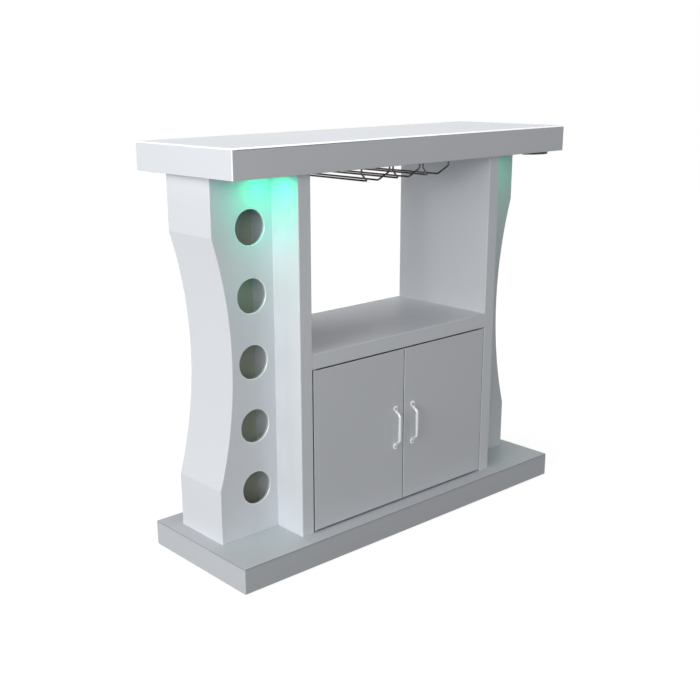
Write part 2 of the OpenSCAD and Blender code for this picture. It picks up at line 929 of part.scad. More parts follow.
rack_wires(rack_xs[0]);  // rack_wires_left
rack_wires(rack_xs[1]);  // rack_wires_middle
rack_wires(rack_xs[2]);  // rack_wires_right
rack_screws();
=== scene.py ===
"""Looks of a bar counter with shelves, seen from the bartender's side.

Metres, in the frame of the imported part: X runs along the counter, Y from the bartender's side to the
guests' side, Z up. Each new piece takes its place and size from the box of the node that it stands for.
"""

import logging
from collections.abc import Callable, Sequence
from dataclasses import dataclass
from enum import Enum
from typing import Any

import bmesh
import bpy
import numpy as np
from mathutils import Matrix, Vector


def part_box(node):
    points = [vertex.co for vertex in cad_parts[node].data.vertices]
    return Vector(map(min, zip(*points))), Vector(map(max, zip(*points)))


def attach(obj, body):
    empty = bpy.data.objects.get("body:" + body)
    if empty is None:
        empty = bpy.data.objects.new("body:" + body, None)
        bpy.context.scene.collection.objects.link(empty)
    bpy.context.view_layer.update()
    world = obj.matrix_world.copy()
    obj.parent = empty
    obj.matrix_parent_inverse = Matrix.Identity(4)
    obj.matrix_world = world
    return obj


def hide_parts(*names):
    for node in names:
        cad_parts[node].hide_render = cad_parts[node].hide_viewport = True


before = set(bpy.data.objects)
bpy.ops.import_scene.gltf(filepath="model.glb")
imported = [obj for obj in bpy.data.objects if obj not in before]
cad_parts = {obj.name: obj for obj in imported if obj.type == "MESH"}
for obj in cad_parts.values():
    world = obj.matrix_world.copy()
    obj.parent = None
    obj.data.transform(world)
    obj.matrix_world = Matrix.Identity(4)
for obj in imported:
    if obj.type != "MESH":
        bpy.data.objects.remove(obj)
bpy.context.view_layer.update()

Array = np.ndarray
Shade = Callable[[Array], Array]
Plan = Callable[[float], Array]
Span = tuple[float, float]
Colour = tuple[float, float, float]
Point = tuple[float, float, float]

MERGE_DISTANCE = 2e-6  # points closer than this become one
TOUCH = 1e-5  # a point nearer a face than this lies on it
TINY = 1e-9  # least value that a root is taken of
# The attribute holds painted highlights, above zero, and painted shade, below zero, on the lacquer.
PAINTED_LIGHT_ATTRIBUTE = "shade"  # attribute that makes the lacquer lighter or darker
SHARP_DEG = 35.0  # edges that turn by more than this stay sharp
QUARTER = np.pi / 2
BEND_STEPS = 12  # steps in each bend of a wire or a handle
PIN_TURNS = 32  # points round a pin

# Whether each corner of an outline, anticlockwise from the highest, is at the high X and the high Y.
CORNERS_AT_HIGH = ([True, False, False, True], [True, True, False, False])

THIRDS = ("left", "middle", "right")
ALONG_X = np.array([1.0, 0.0, 0.0])
UP = (0.0, 0.0, 1.0)
DOWN = (0.0, 0.0, -1.0)
TO_FRONT = (0.0, -1.0, 0.0)

# Sockets that are called by number, because their names repeat or change.
MIX_COLOURS = (6, 7)
MIX_RESULT = 2
ATTRIBUTE_VALUE = 2

log = logging.getLogger("bar_counter")


class Side(Enum):
    """End of the counter, as the sign of X."""

    LEFT = -1
    RIGHT = 1

    @property
    def word(self) -> str:
        """The side's name as node names have it."""
        return self.name.lower()


class Edge(Enum):
    """Side of a slab."""

    FRONT = "front"
    BACK = "back"
    LEFT = "left"
    RIGHT = "right"


class Body(Enum):
    """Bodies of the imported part."""

    CARCASS = "carcass"
    LEFT_DOOR = "left_door"
    RIGHT_DOOR = "right_door"


class Slot(Enum):
    """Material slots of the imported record."""

    WHITE_LACQUER = "white_lacquer"
    RAW_BOARD = "raw_board"
    HANDLE_METAL = "handle_metal"
    RACK_CHROME = "rack_chrome"
    STEEL_HARDWARE = "steel_hardware"
    WHITE_PLASTIC = "white_plastic"
    BUSH_PLASTIC = "bush_plastic"
    GLIDE_PLASTIC = "glide_plastic"
    CASE_PLASTIC = "case_plastic"
    LAMP_LENS = "lamp_lens"


@dataclass(frozen=True)
class Box:
    """Box of one or more CAD nodes at rest.

    Args:
        low: lowest corner.
        high: highest corner.
    """

    low: Array
    high: Array

    @classmethod
    def of(cls, *nodes: str) -> "Box":
        """The box round the named nodes."""
        corners = np.array([[list(corner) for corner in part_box(node)] for node in nodes])
        return cls(corners[:, 0].min(axis=0), corners[:, 1].max(axis=0))

    @property
    def size(self) -> Array:
        """Lengths of the sides."""
        return self.high - self.low

    @property
    def middle(self) -> Array:
        """The box's centre."""
        return (self.low + self.high) / 2


def unit(vectors: Array) -> Array:
    """Vectors along the last axis, each divided by its length."""
    return vectors / np.linalg.norm(vectors, axis=-1, keepdims=True)


def smooth_step(values: Array) -> Array:
    """Rise from 0 to 1 along 3t squared less 2t cubed, with t held between 0 and 1."""
    held = np.clip(values, 0.0, 1.0)
    return held * held * (3.0 - 2.0 * held)


class Shell:
    """Closed surfaces gathered from grids of points before they become one mesh."""

    def __init__(self) -> None:
        """Starts with no points and no faces."""
        self.points: list[Array] = []
        self.faces: list[list[int]] = []
        self.count = 0

    def take(self, points: Array, faces: Array) -> "Shell":
        """Adds points, and faces that number them from zero.

        Args:
            points: any shape that ends in 3.
            faces: one row of point numbers for each face.

        Returns:
            The shell itself.
        """
        self.points.append(points.reshape(-1, 3))
        self.faces.extend((faces + self.count).tolist())
        self.count += self.points[-1].shape[0]
        return self

    def grid(self, points: Array, around: bool = False) -> "Shell":
        """Adds four-cornered faces between the rows and columns of a grid.

        Args:
            points: rows x columns x 3.
            around: whether the last column meets the first.

        Returns:
            The shell itself.
        """
        rows, columns = points.shape[:2]
        numbers = np.arange(rows * columns).reshape(rows, columns)
        if around:
            numbers = np.concatenate([numbers, numbers[:, :1]], axis=1)
        corners = (numbers[:-1, :-1], numbers[1:, :-1], numbers[1:, 1:], numbers[:-1, 1:])
        return self.take(points, np.stack(corners, axis=-1).reshape(-1, 4))

    def cap(self, ring: Array) -> "Shell":
        """Closes a ring: four points with one face, more with triangles that meet in their middle.

        Args:
            ring: points x 3.

        Returns:
            The shell itself.
        """
        if len(ring) == 4:
            return self.take(ring, np.arange(4)[None])
        middle = np.broadcast_to(ring.mean(axis=0), ring.shape)
        return self.grid(np.stack([ring, middle]), around=True)

    def tube(self, rings: Array) -> "Shell":
        """Adds rings of points joined one to the next, closed at both ends."""
        return self.grid(rings, around=True).cap(rings[0]).cap(rings[-1])

    def mesh(
        self, name: str, sharp_deg: float, outward: bool = True, shade: Shade | None = None
    ) -> bpy.types.Mesh:
        """Makes the mesh: doubles are merged, faces turned outwards and shaded smooth up to an angle.

        Args:
            name: the mesh's name.
            sharp_deg: edges that turn by more than this stay sharp.
            outward: whether the faces still have to be turned outwards.
            shade: gives how much lighter the lacquer is at each point, as a painted highlight, and below
                zero how much darker, as painted shade.

        Returns:
            The mesh.
        """
        mesh = bpy.data.meshes.new(name)
        mesh.from_pydata(np.concatenate(self.points).tolist(), [], self.faces)
        work = bmesh.new()
        work.from_mesh(mesh)
        bmesh.ops.remove_doubles(work, verts=work.verts, dist=MERGE_DISTANCE)
        if outward:
            bmesh.ops.recalc_face_normals(work, faces=work.faces)
        work.to_mesh(mesh)
        work.free()
        mesh.shade_smooth()
        mesh.set_sharp_from_angle(angle=np.radians(sharp_deg))
        if shade:
            points = np.empty(len(mesh.vertices) * 3)
            mesh.vertices.foreach_get("co", points)
            values = shade(points.reshape(-1, 3))
            mesh.attributes.new(PAINTED_LIGHT_ATTRIBUTE, "FLOAT", "POINT").data.foreach_set("value", values)
        return mesh


def linked(name: str, data: bpy.types.ID) -> bpy.types.Object:
    """Puts data into the scene as an object at the origin.

    Args:
        name: the object's name.
        data: its mesh, light or camera.

    Returns:
        The object.
    """
    made = bpy.data.objects.new(name, data)
    bpy.context.scene.collection.objects.link(made)
    return made


def corner_turns(steps: int) -> tuple[Array, Array, Array]:
    """Turns round four rounded corners, and whether each point is at the high X and at the high Y."""
    turn = (np.arange(4)[:, None] * QUARTER + np.linspace(0.0, QUARTER, steps + 1)).ravel()
    return turn, *(np.repeat(flags, steps + 1) for flags in CORNERS_AT_HIGH)


def round_rect(low: Array, high: Array, r: float, steps: int) -> Array:
    """Outline of a rectangle with rounded corners: each corner's centre plus r times (cos a, sin a).

    Args:
        low: lower corner, two numbers.
        high: higher corner, two numbers.
        r: radius of the corners.
        steps: steps in each quarter turn.

    Returns:
        Points x 2, anticlockwise.
    """
    turn, at_high_x, at_high_y = corner_turns(steps)
    centre_x = np.where(at_high_x, high[0] - r, low[0] + r)
    centre_y = np.where(at_high_y, high[1] - r, low[1] + r)
    return np.stack([centre_x + r * np.cos(turn), centre_y + r * np.sin(turn)], axis=-1)


def rounded_block(low: Array, high: Array, r: float, steps: int = 4) -> Shell:
    """Box with all its edges rounded: a ball whose eighths are pushed apart to the box's corners.

    The point at turn a and rise b is the corner of the inner box in its eighth, plus r times
    (cos b cos a, cos b sin a, sin b).

    Args:
        low: lowest corner.
        high: highest corner.
        r: radius of the edges.
        steps: steps in each quarter turn.

    Returns:
        The block's shell.
    """
    quarter = np.linspace(0.0, QUARTER, steps + 1)
    rise = np.concatenate([quarter - QUARTER, quarter])[:, None]
    turn, at_high_x, at_high_y = corner_turns(steps)
    at_high_z = np.repeat([False, True], steps + 1)[:, None]
    grid = np.stack(
        [
            np.where(at_high_x, high[0] - r, low[0] + r) + r * np.cos(rise) * np.cos(turn),
            np.where(at_high_y, high[1] - r, low[1] + r) + r * np.cos(rise) * np.sin(turn),
            np.where(at_high_z, high[2] - r, low[2] + r) + r * np.sin(rise) * np.ones_like(turn),
        ],
        axis=-1,
    )
    shell = Shell().grid(grid, around=True)
    corners = np.arange(4) * (steps + 1)
    return shell.cap(grid[0, corners]).cap(grid[-1, corners])


def rect_plan(low: Array, high: Array, r: float, share: float = 1.0, steps: int = 5) -> Plan:
    """Outline of a rectangle with rounded corners, drawn in by an inset.

    Args:
        low: lower corner, two numbers.
        high: higher corner, two numbers.
        r: radius of the corners where the inset is zero.
        share: how much of the inset is taken off the radius.
        steps: steps in each corner.

    Returns:
        A function that gives the outline for an inset.
    """

    def plan(inset: float) -> Array:
        """The outline at an inset."""
        return round_rect(low + inset, high - inset, r - share * inset, steps)

    return plan


def stacked(plan: Plan, levels: Sequence[Span]) -> Shell:
    """An outline in plan carried upwards, drawn in at each level by its own inset.

    Args:
        plan: gives the outline, points x 2, for an inset.
        levels: a height and an inset for each ring, from the lowest up.

    Returns:
        The closed shell.
    """
    outlines = [plan(inset) for _, inset in levels]
    rings = [np.insert(o, 2, height, axis=1) for o, (height, _) in zip(outlines, levels)]
    return Shell().tube(np.stack(rings))


def quarter_round(r: float, steps: int) -> tuple[Array, Array]:
    """The two legs of a quarter round: r less r cos a, which grows, and r less r sin a, which falls."""
    turn = np.linspace(0.0, QUARTER, steps + 1)
    return r * (1 - np.cos(turn)), r * (1 - np.sin(turn))


def eased_levels(low: float, high: float, r: float, steps: int = 3) -> list[Span]:
    """Levels of a plate whose lower and upper edges are quarter rounds.

    Args:
        low: height of its lower face.
        high: height of its upper face.
        r: radius of the edges.
        steps: steps in each round.

    Returns:
        A height and an inset for each level, from the lowest up.
    """
    rise, inset = quarter_round(r, steps)
    lower = list(zip(low + rise, inset))
    upper = list(zip(high - rise[::-1], inset[::-1]))
    return lower + upper


def turned(profile: Array, turns: int = 48, hollow: bool = False) -> Shell:
    """A profile turned about the upright axis: (radius cos a, radius sin a, height).

    Args:
        profile: points x 2, each a radius and a height.
        turns: points round the axis.
        hollow: whether the profile is a ring that leaves a bore, so that its last point meets its first.

    Returns:
        The shell, about the origin.
    """
    angle = np.linspace(0.0, 2 * np.pi, turns, endpoint=False)
    if hollow:
        profile = np.concatenate([profile, profile[:1]])
    radius, height = profile[:, :1], profile[:, 1:]
    rings = [radius * np.cos(angle), radius * np.sin(angle), height * np.ones_like(angle)]
    return Shell().grid(np.stack(rings, axis=-1), around=True)


def placed(shell: Shell, base: Sequence[float], up: Sequence[float] = UP) -> Shell:
    """Moves a shell from the origin to a base point, and turns its upright axis.

    Args:
        shell: the shell, which is changed.
        base: where its origin goes.
        up: the direction that its upright axis takes.

    Returns:
        The shell itself.
    """
    turn = np.array(Vector(UP).rotation_difference(Vector(up)).to_matrix())
    shell.points = [points @ turn.T + np.asarray(base) for points in shell.points]
    return shell


def together(shells: Sequence[Shell]) -> Shell:
    """One shell that holds several.

    Args:
        shells: the shells, in order.

    Returns:
        The whole.
    """
    whole = Shell()
    for shell in shells:
        whole.faces.extend([[number + whole.count for number in face] for face in shell.faces])
        whole.points.extend(shell.points)
        whole.count += shell.count
    return whole


def both_sides(x: float, y: float, z: float) -> list[Point]:
    """A place's mirror image on the left, and the place itself."""
    return [(side.value * x, y, z) for side in Side]


def bent_path(corners: Array, bend_r: float, steps: int = BEND_STEPS) -> Array:
    """Line through corners, with a round bend at each inner one.

    At share t of a bend the point is its centre plus r times (sin ta along, less cos ta inward), where
    a is the bend's whole turn, along is the way in and inward points from the line to the centre.

    Args:
        corners: points x 3.
        bend_r: radius of the bends.
        steps: steps in each bend.

    Returns:
        Points x 3.
    """
    before, bend, after = corners[:-2], corners[1:-1], corners[2:]
    along, onward = unit(bend - before), unit(after - bend)
    inward = unit(onward - (onward * along).sum(axis=1, keepdims=True) * along)
    turn = np.arccos((onward * along).sum(axis=1))[:, None, None]
    centre = bend + bend_r * inward - bend_r * np.tan(turn[:, 0] / 2) * along
    angle = turn * np.linspace(0.0, 1.0, steps + 1)[None, :, None]
    arcs = centre[:, None] + bend_r * (np.sin(angle) * along[:, None] - np.cos(angle) * inward[:, None])
    return np.concatenate([corners[:1], arcs.reshape(-1, 3), corners[-1:]])


def run_lengths(path: Array) -> Array:
    """Distance along a path from its start to each of its points."""
    steps = np.linalg.norm(np.diff(path, axis=0), axis=1)
    return np.concatenate([[0.0], np.cumsum(steps)])


def resampled(path: Array, count: int) -> Array:
    """The same path as evenly spaced points.

    Args:
        path: points x 3.
        count: how many points to give.

    Returns:
        Points x 3.
    """
    run = run_lengths(path)
    wanted = np.linspace(0.0, run[-1], count)
    return np.stack([np.interp(wanted, run, path[:, axis]) for axis in range(3)], axis=-1)


def swept(path: Array, across: Array, wide: Array, thick: Array, power: Array, sides: int) -> Shell:
    """A rounded section carried along a path.

    The section at angle a is wide times cos a and thick times sin a, each raised to 2 over power with
    its sign kept: an ellipse at power 2, and nearer a rectangle above it. Its first axis is the across
    direction laid square to the path.

    Args:
        path: points x 3.
        across: direction of the section's first axis.
        wide: half width at each point.
        thick: half thickness at each point.
        power: the section's power at each point.
        sides: points in a section.

    Returns:
        The closed shell.
    """
    along = unit(np.gradient(path, run_lengths(path), axis=0))
    first = unit(across - (along @ across)[:, None] * along)
    second = np.cross(along, first)
    angle = np.linspace(0.0, 2 * np.pi, sides, endpoint=False)[None]
    bent = 2.0 / power[:, None]
    width = wide[:, None] * np.sign(np.cos(angle)) * np.abs(np.cos(angle)) ** bent
    depth = thick[:, None] * np.sign(np.sin(angle)) * np.abs(np.sin(angle)) ** bent
    rings = path[:, None] + width[..., None] * first[:, None] + depth[..., None] * second[:, None]
    return Shell().tube(rings)


@dataclass(frozen=True)
class ScrewForm:
    """Domed screw with a cross recess, made with its head up and its shank down.

    Args:
        head_r: radius of the head.
        head_h: height of the head.
        length: the screw's whole length.
        shank_share: radius of the shank as a share of the head's.
        dome_share: how much of the head's height its dome takes.
        slot_width_share: half width of the recess's bars, as a share of the head's radius.
        slot_reach_share: reach of the bars, as a share of the head's radius.
        slot_depth_share: depth of the recess, as a share of the head's height.
        slot_edge_share: width over which the recess's walls slope.
        rings: rings of points over the dome.
        turns: points round the screw.
    """

    head_r: float
    head_h: float
    length: float
    shank_share: float = 0.5
    dome_share: float = 0.45
    slot_width_share: float = 0.14
    slot_reach_share: float = 0.58
    slot_depth_share: float = 0.6
    slot_edge_share: float = 0.06
    rings: int = 22
    turns: int = 64

    def shell(self) -> Shell:
        """The screw about the origin, its head's underside at zero.

        At distance d and angle a the dome's height is the head's, less the dome's share of (d / R)
        squared, less the recess where (d cos a, d sin a) lies on one of two crossed bars.

        Returns:
            The closed shell.
        """
        share = np.linspace(0.0, 1.0, self.rings)[:, None]
        angle = np.linspace(0.0, 2 * np.pi, self.turns, endpoint=False)[None]
        x, y = np.abs(share * np.cos(angle)), np.abs(share * np.sin(angle))
        short, long = np.minimum(x, y), np.maximum(x, y)
        inside_width = smooth_step((self.slot_width_share - short) / self.slot_edge_share + 0.5)
        inside_reach = smooth_step((self.slot_reach_share - long) / self.slot_edge_share + 0.5)
        recess = self.slot_depth_share * inside_width * inside_reach
        top = self.head_h * (1.0 - self.dome_share * share**2 - recess)
        ones = np.ones_like(angle)
        radius = self.head_r * share * ones
        shank_r, foot = self.shank_share * self.head_r, self.head_h - self.length
        below = np.array([[self.head_r, 0.0], [shank_r, 0.0], [shank_r, shank_r + foot], [0.0, foot]])
        radius = np.concatenate([radius, below[:, :1] * ones])
        height = np.concatenate([top, below[:, 1:] * ones])
        rings = [radius * np.cos(angle), radius * np.sin(angle), height]
        return Shell().grid(np.stack(rings, axis=-1), around=True)


class Term:
    """Value in a shader tree. Operators on it add Math nodes."""

    def __init__(self, recipe: "Recipe", socket: bpy.types.NodeSocket) -> None:
        """Wraps a socket of the recipe's tree."""
        self.recipe = recipe
        self.socket = socket

    def math(self, operation: str, *others: Any) -> "Term":
        """Adds a Math node with this value first.

        Args:
            operation: what the node does.
            others: its other values, numbers or terms.

        Returns:
            The node's result.
        """
        sockets = dict(enumerate((self, *others)))
        node = self.recipe.node("ShaderNodeMath", {"operation": operation}, sockets)
        return Term(self.recipe, node.outputs[0])

    def __add__(self, other: Any) -> "Term":
        """Sum."""
        return self.math("ADD", other)

    __radd__ = __add__

    def __sub__(self, other: Any) -> "Term":
        """Difference."""
        return self.math("SUBTRACT", other)

    def __rsub__(self, other: Any) -> "Term":
        """Difference, with this value second."""
        return (self * -1.0) + other

    def __mul__(self, other: Any) -> "Term":
        """Product."""
        return self.math("MULTIPLY", other)

    __rmul__ = __mul__

    def __pow__(self, other: Any) -> "Term":
        """Power."""
        return self.math("POWER", other)

    def over(self, low: float, high: float) -> "Term":
        """Smooth rise over this value.

        Args:
            low: where the rise is still 0.
            high: where it has come to 1.

        Returns:
            The rise.
        """
        settings = {"interpolation_type": "SMOOTHSTEP"}
        sockets = {"Value": self, "From Min": low, "From Max": high}
        return Term(self.recipe, self.recipe.node("ShaderNodeMapRange", settings, sockets).outputs[0])

    def between(self, low: float, high: float) -> "Term":
        """Straight rise from low, where this value is 0, to high, where it is 1."""
        return self * (high - low) + low


def distance(first: Term, *others: Term) -> Term:
    """Root of the sum of squares.

    Args:
        first: how far a place lies along one axis.
        others: the same along the other axes.

    Returns:
        How far it lies in all.
    """
    total = first * first
    for part in others:
        total = total + part * part
    return total**0.5


@dataclass(frozen=True)
class Grain:
    """Noise over a piece's own place.

    Args:
        scale: how many patches to a metre.
        detail: how many finer layers.
        stretch: factors on X, Y and Z before the noise is read.
    """

    scale: float
    detail: float = 2.0
    stretch: Point = (1.0, 1.0, 1.0)


class Recipe:
    """Shader tree of a material or of the world."""

    def __init__(self, owner: bpy.types.Material | bpy.types.World) -> None:
        """Starts an empty tree that reads Object coordinates.

        Args:
            owner: the material or world that the tree belongs to.
        """
        owner.use_nodes = True
        self.owner = owner
        self.tree = owner.node_tree
        self.tree.nodes.clear()
        self.place = Term(self, self.node("ShaderNodeTexCoord").outputs["Object"])

    @classmethod
    def named(cls, name: str) -> "Recipe":
        """Starts a new material."""
        return cls(bpy.data.materials.new(name))

    def node(
        self,
        kind: str,
        settings: dict[str, Any] | None = None,
        sockets: dict[str | int, Any] | None = None,
    ) -> bpy.types.Node:
        """Adds any node.

        Args:
            kind: the node's type.
            settings: its properties, which are set first.
            sockets: values or terms for its inputs, by name or number.

        Returns:
            The node.
        """
        made = self.tree.nodes.new(kind)
        for name, value in (settings or {}).items():
            setattr(made, name, value)
        for name, value in (sockets or {}).items():
            if isinstance(value, Term):
                self.tree.links.new(value.socket, made.inputs[name])
            else:
                made.inputs[name].default_value = value
        return made

    def axes(self) -> tuple[Term, Term, Term]:
        """X, Y and Z of the piece's own place."""
        outputs = self.node("ShaderNodeSeparateXYZ", None, {0: self.place}).outputs
        return Term(self, outputs[0]), Term(self, outputs[1]), Term(self, outputs[2])

    def noise(self, grain: Grain) -> Term:
        """Noise over the piece's own place.

        Args:
            grain: its scale, detail and stretch.

        Returns:
            A value from 0 to 1.
        """
        sockets = {"Vector": self.place, "Scale": grain.stretch}
        where = Term(self, self.node("ShaderNodeMapping", None, sockets).outputs[0])
        sockets = {"Vector": where, "Scale": grain.scale, "Detail": grain.detail}
        return Term(self, self.node("ShaderNodeTexNoise", None, sockets).outputs[0])

    def mix(self, share: Any, first: Any, second: Any) -> Term:
        """Colour between two.

        Args:
            share: share of the second.
            first: a colour, as three linear numbers or a term.
            second: another.

        Returns:
            The colour.
        """
        colours = (c if isinstance(c, Term) else (*c, 1.0) for c in (first, second))
        sockets = {"Factor": share, **dict(zip(MIX_COLOURS, colours))}
        node = self.node("ShaderNodeMix", {"data_type": "RGBA"}, sockets)
        return Term(self, node.outputs[MIX_RESULT])

    def bump(self, height: Term, depth: float, strength: float = 1.0) -> Term:
        """Normal that a height from 0 to 1, over a real depth in metres, gives."""
        sockets = {"Height": height, "Distance": depth, "Strength": strength}
        return Term(self, self.node("ShaderNodeBump", None, sockets).outputs[0])

    def surface(self, sockets: dict[str | int, Any]) -> bpy.types.Material:
        """Ends the tree in a Principled surface.

        Args:
            sockets: values or terms for the surface's inputs.

        Returns:
            The material.
        """
        shader = self.node("ShaderNodeBsdfPrincipled", None, sockets)
        self.node("ShaderNodeOutputMaterial", None, {"Surface": Term(self, shader.outputs[0])})
        return self.owner


@dataclass(frozen=True)
class Lacquer:
    """Sprayed gloss lacquer on smooth board: a cloudy white with fine orange peel and wiping marks.

    The base is painted a little darker than the rest, as painted shade near the floor, and close to the
    lamps the white carries a painted glow of their light. A piece's shade attribute paints highlights
    and shade on it, and makes it more glossy where it is lighter.

    Args:
        tone: the white.
        cloud_tone: the white in its clouds.
        cloud: the clouds.
        wipe: the wiping marks, which are a little duller.
        patch: the noise over which clouds and marks come in.
        peel: the orange peel.
        peel_depth: depth of the orange peel.
        peel_strength: how much of the orange peel shows.
        ior: index of refraction.
        rough: roughness off and on the wiping marks.
        base_painted_shade: the base's tone as a share of the white, painted shade that darkens it near
            the floor.
        base_top: heights over which the base's tone ends.
        lamp: the right lamp's place. The left one is its mirror image.
        lamp_reach: distances from the lamp over which the painted glow ends.
        painted_lamp_glow: colour of the painted glow of the lamps' light.
        under_top: heights above the lamp over which the painted glow ends.
        within_end: distances past the lamp, away from the cabinet, over which the painted glow ends.
        behind_front: distances from the lamp towards the guests' side over which the painted glow
            begins.
        beside_cabinet: distances past the lamp over which the painted glow begins.
        rim_rise: brightness over which a lighter rim turns glossy.
        rim_gloss: how metallic the glossiest rim is.
    """

    tone: Colour = (0.780, 0.808, 0.848)
    cloud_tone: Colour = (0.768, 0.792, 0.828)
    cloud: Grain = Grain(1.7, 1.0)
    wipe: Grain = Grain(3.5)
    patch: Span = (0.25, 0.75)
    peel: Grain = Grain(420.0, 1.0)
    peel_depth: float = 0.00003
    peel_strength: float = 0.25
    ior: float = 1.42
    rough: Span = (0.42, 0.48)
    base_painted_shade: float = 0.765
    base_top: Span = (0.0722, 0.0740)
    lamp: Point = (0.427, -0.103, 1.019)
    lamp_reach: Span = (0.03, 0.24)
    painted_lamp_glow: Colour = (0.500, 0.808, 0.848)
    under_top: Span = (0.0074, 0.0084)
    within_end: Span = (0.1350, 0.1376)
    behind_front: Span = (-0.0494, -0.0480)
    beside_cabinet: Span = (-0.0515, -0.0502)
    rim_rise: Span = (1.0, 1.24)
    rim_gloss: float = 0.75

    def material(self, name: str) -> bpy.types.Material:
        """Builds the finish.

        Args:
            name: the material's name.

        Returns:
            The material.
        """
        recipe = Recipe.named(name)
        x, y, z = recipe.axes()
        upper = recipe.mix(recipe.noise(self.cloud).over(*self.patch), self.tone, self.cloud_tone)
        # Painted glow: close to the lamps the white is tinted towards the colour of their light.
        painted_glow_colour = recipe.mix(self.lit(x, y, z), upper, self.painted_lamp_glow)
        # Painted shade: the base near the floor is painted darker than the rest.
        grey = tuple(self.base_painted_shade * part for part in self.tone)
        painted_glow_and_base_shade = recipe.mix(z.over(*self.base_top), grey, painted_glow_colour)
        # Painted light: the attribute's highlights lighten the colour and its shade darkens it; lighter
        # places turn metallic and glossy.
        shade = recipe.node("ShaderNodeAttribute", {"attribute_name": PAINTED_LIGHT_ATTRIBUTE}).outputs[ATTRIBUTE_VALUE]
        factor = Term(recipe, shade) + 1.0
        scaled = recipe.node("ShaderNodeVectorMath", {"operation": "SCALE"}, {0: painted_glow_and_base_shade, "Scale": factor})
        return recipe.surface(
            {
                "Base Color": Term(recipe, scaled.outputs[0]),
                "Metallic": factor.over(*self.rim_rise) * self.rim_gloss,
                "Roughness": recipe.noise(self.wipe).over(*self.patch).between(*self.rough),
                "IOR": self.ior,
                "Normal": recipe.bump(recipe.noise(self.peel), self.peel_depth, self.peel_strength),
            }
        )

    def lit(self, x: Term, y: Term, z: Term) -> Term:
        """Share of the lamps' painted glow: a ball round each lamp, less what the walls keep from its
        light.

        Args:
            x: X of the place.
            y: Y of the place.
            z: Z of the place.

        Returns:
            A value from 0 to 1.
        """
        past = x.math("ABSOLUTE") - self.lamp[0]
        behind = y - self.lamp[1]
        above = z - self.lamp[2]
        near = 1.0 - distance(past, behind, above).over(*self.lamp_reach)
        under = 1.0 - above.over(*self.under_top)
        within = 1.0 - past.over(*self.within_end)
        return near * under * within * behind.over(*self.behind_front) * past.over(*self.beside_cabinet)


@dataclass(frozen=True)
class PressedBoard:
    """Raw pressed board: pale chips in a darker binder, with a dry rough face.

    Args:
        chip: colour of the chips.
        binder: colour of the binder.
        chips: where the chips lie.
        chip_rise: the noise over which a chip comes in.
        rough: roughness of its face.
        face_depth: height of the chips over the binder.
    """

    chip: Colour = (0.62, 0.47, 0.29)
    binder: Colour = (0.42, 0.28, 0.15)
    chips: Grain = Grain(260.0, 4.0, (1.0, 1.0, 0.45))
    chip_rise: Span = (0.35, 0.62)
    rough: float = 0.85
    face_depth: float = 0.0002

    def material(self, name: str) -> bpy.types.Material:
        """Builds the finish.

        Args:
            name: the material's name.

        Returns:
            The material.
        """
        recipe = Recipe.named(name)
        chips = recipe.noise(self.chips).over(*self.chip_rise)
        return recipe.surface(
            {
                "Base Color": recipe.mix(chips, self.binder, self.chip),
                "Roughness": self.rough,
                "Normal": recipe.bump(chips, self.face_depth),
            }
        )


@dataclass(frozen=True)
class Metal:
    """Bare or plated metal, with faint drawing marks and a slightly uneven gloss.

    Args:
        tone: its colour.
        dull_tone: its colour where it is dull.
        rough: least and most roughness, over the drawing marks.
        metallic: share of the metal in its look.
        marks: the drawing marks.
        mark_depth: depth of the marks.
        mark_strength: how much of the marks shows.
        cloud: the dull patches.
        cloud_rise: the noise over which a patch comes in.
    """

    tone: Colour
    dull_tone: Colour
    rough: Span
    metallic: float = 1.0
    marks: Grain = Grain(900.0, 2.0, (1.0, 1.0, 0.05))
    mark_depth: float = 0.00002
    mark_strength: float = 0.5
    cloud: Grain = Grain(60.0, 3.0)
    cloud_rise: Span = (0.35, 0.70)

    def material(self, name: str) -> bpy.types.Material:
        """Builds the finish.

        Args:
            name: the material's name.

        Returns:
            The material.
        """
        recipe = Recipe.named(name)
        marks = recipe.noise(self.marks)
        cloud = recipe.noise(self.cloud).over(*self.cloud_rise)
        return recipe.surface(
            {
                "Base Color": recipe.mix(cloud, self.tone, self.dull_tone),
                "Metallic": self.metallic,
                "Roughness": marks.between(*self.rough),
                "Normal": recipe.bump(marks, self.mark_depth, self.mark_strength),
            }
        )


@dataclass(frozen=True)
class MouldedPlastic:
    """Moulded plastic with a fine spark-eroded grain and slightly uneven gloss.

    Args:
        tone: its colour.
        worn_tone: its colour where it is worn.
        rough: its least roughness.
        rough_spread: how much the grain adds to the roughness.
        grain: the grain.
        grain_depth: depth of the grain.
        grain_strength: how much of the grain shows.
        wear: the worn patches.
        wear_rise: the noise over which a patch comes in.
    """

    tone: Colour
    worn_tone: Colour
    rough: float
    rough_spread: float = 0.12
    grain: Grain = Grain(2600.0)
    grain_depth: float = 0.00004
    grain_strength: float = 0.5
    wear: Grain = Grain(70.0, 3.0)
    wear_rise: Span = (0.45, 0.75)

    def material(self, name: str) -> bpy.types.Material:
        """Builds the finish.

        Args:
            name: the material's name.

        Returns:
            The material.
        """
        recipe = Recipe.named(name)
        grain = recipe.noise(self.grain)
        wear = recipe.noise(self.wear).over(*self.wear_rise)
        return recipe.surface(
            {
                "Base Color": recipe.mix(wear, self.tone, self.worn_tone),
                "Roughness": grain * self.rough_spread + self.rough,
                "Normal": recipe.bump(grain, self.grain_depth, self.grain_strength),
            }
        )


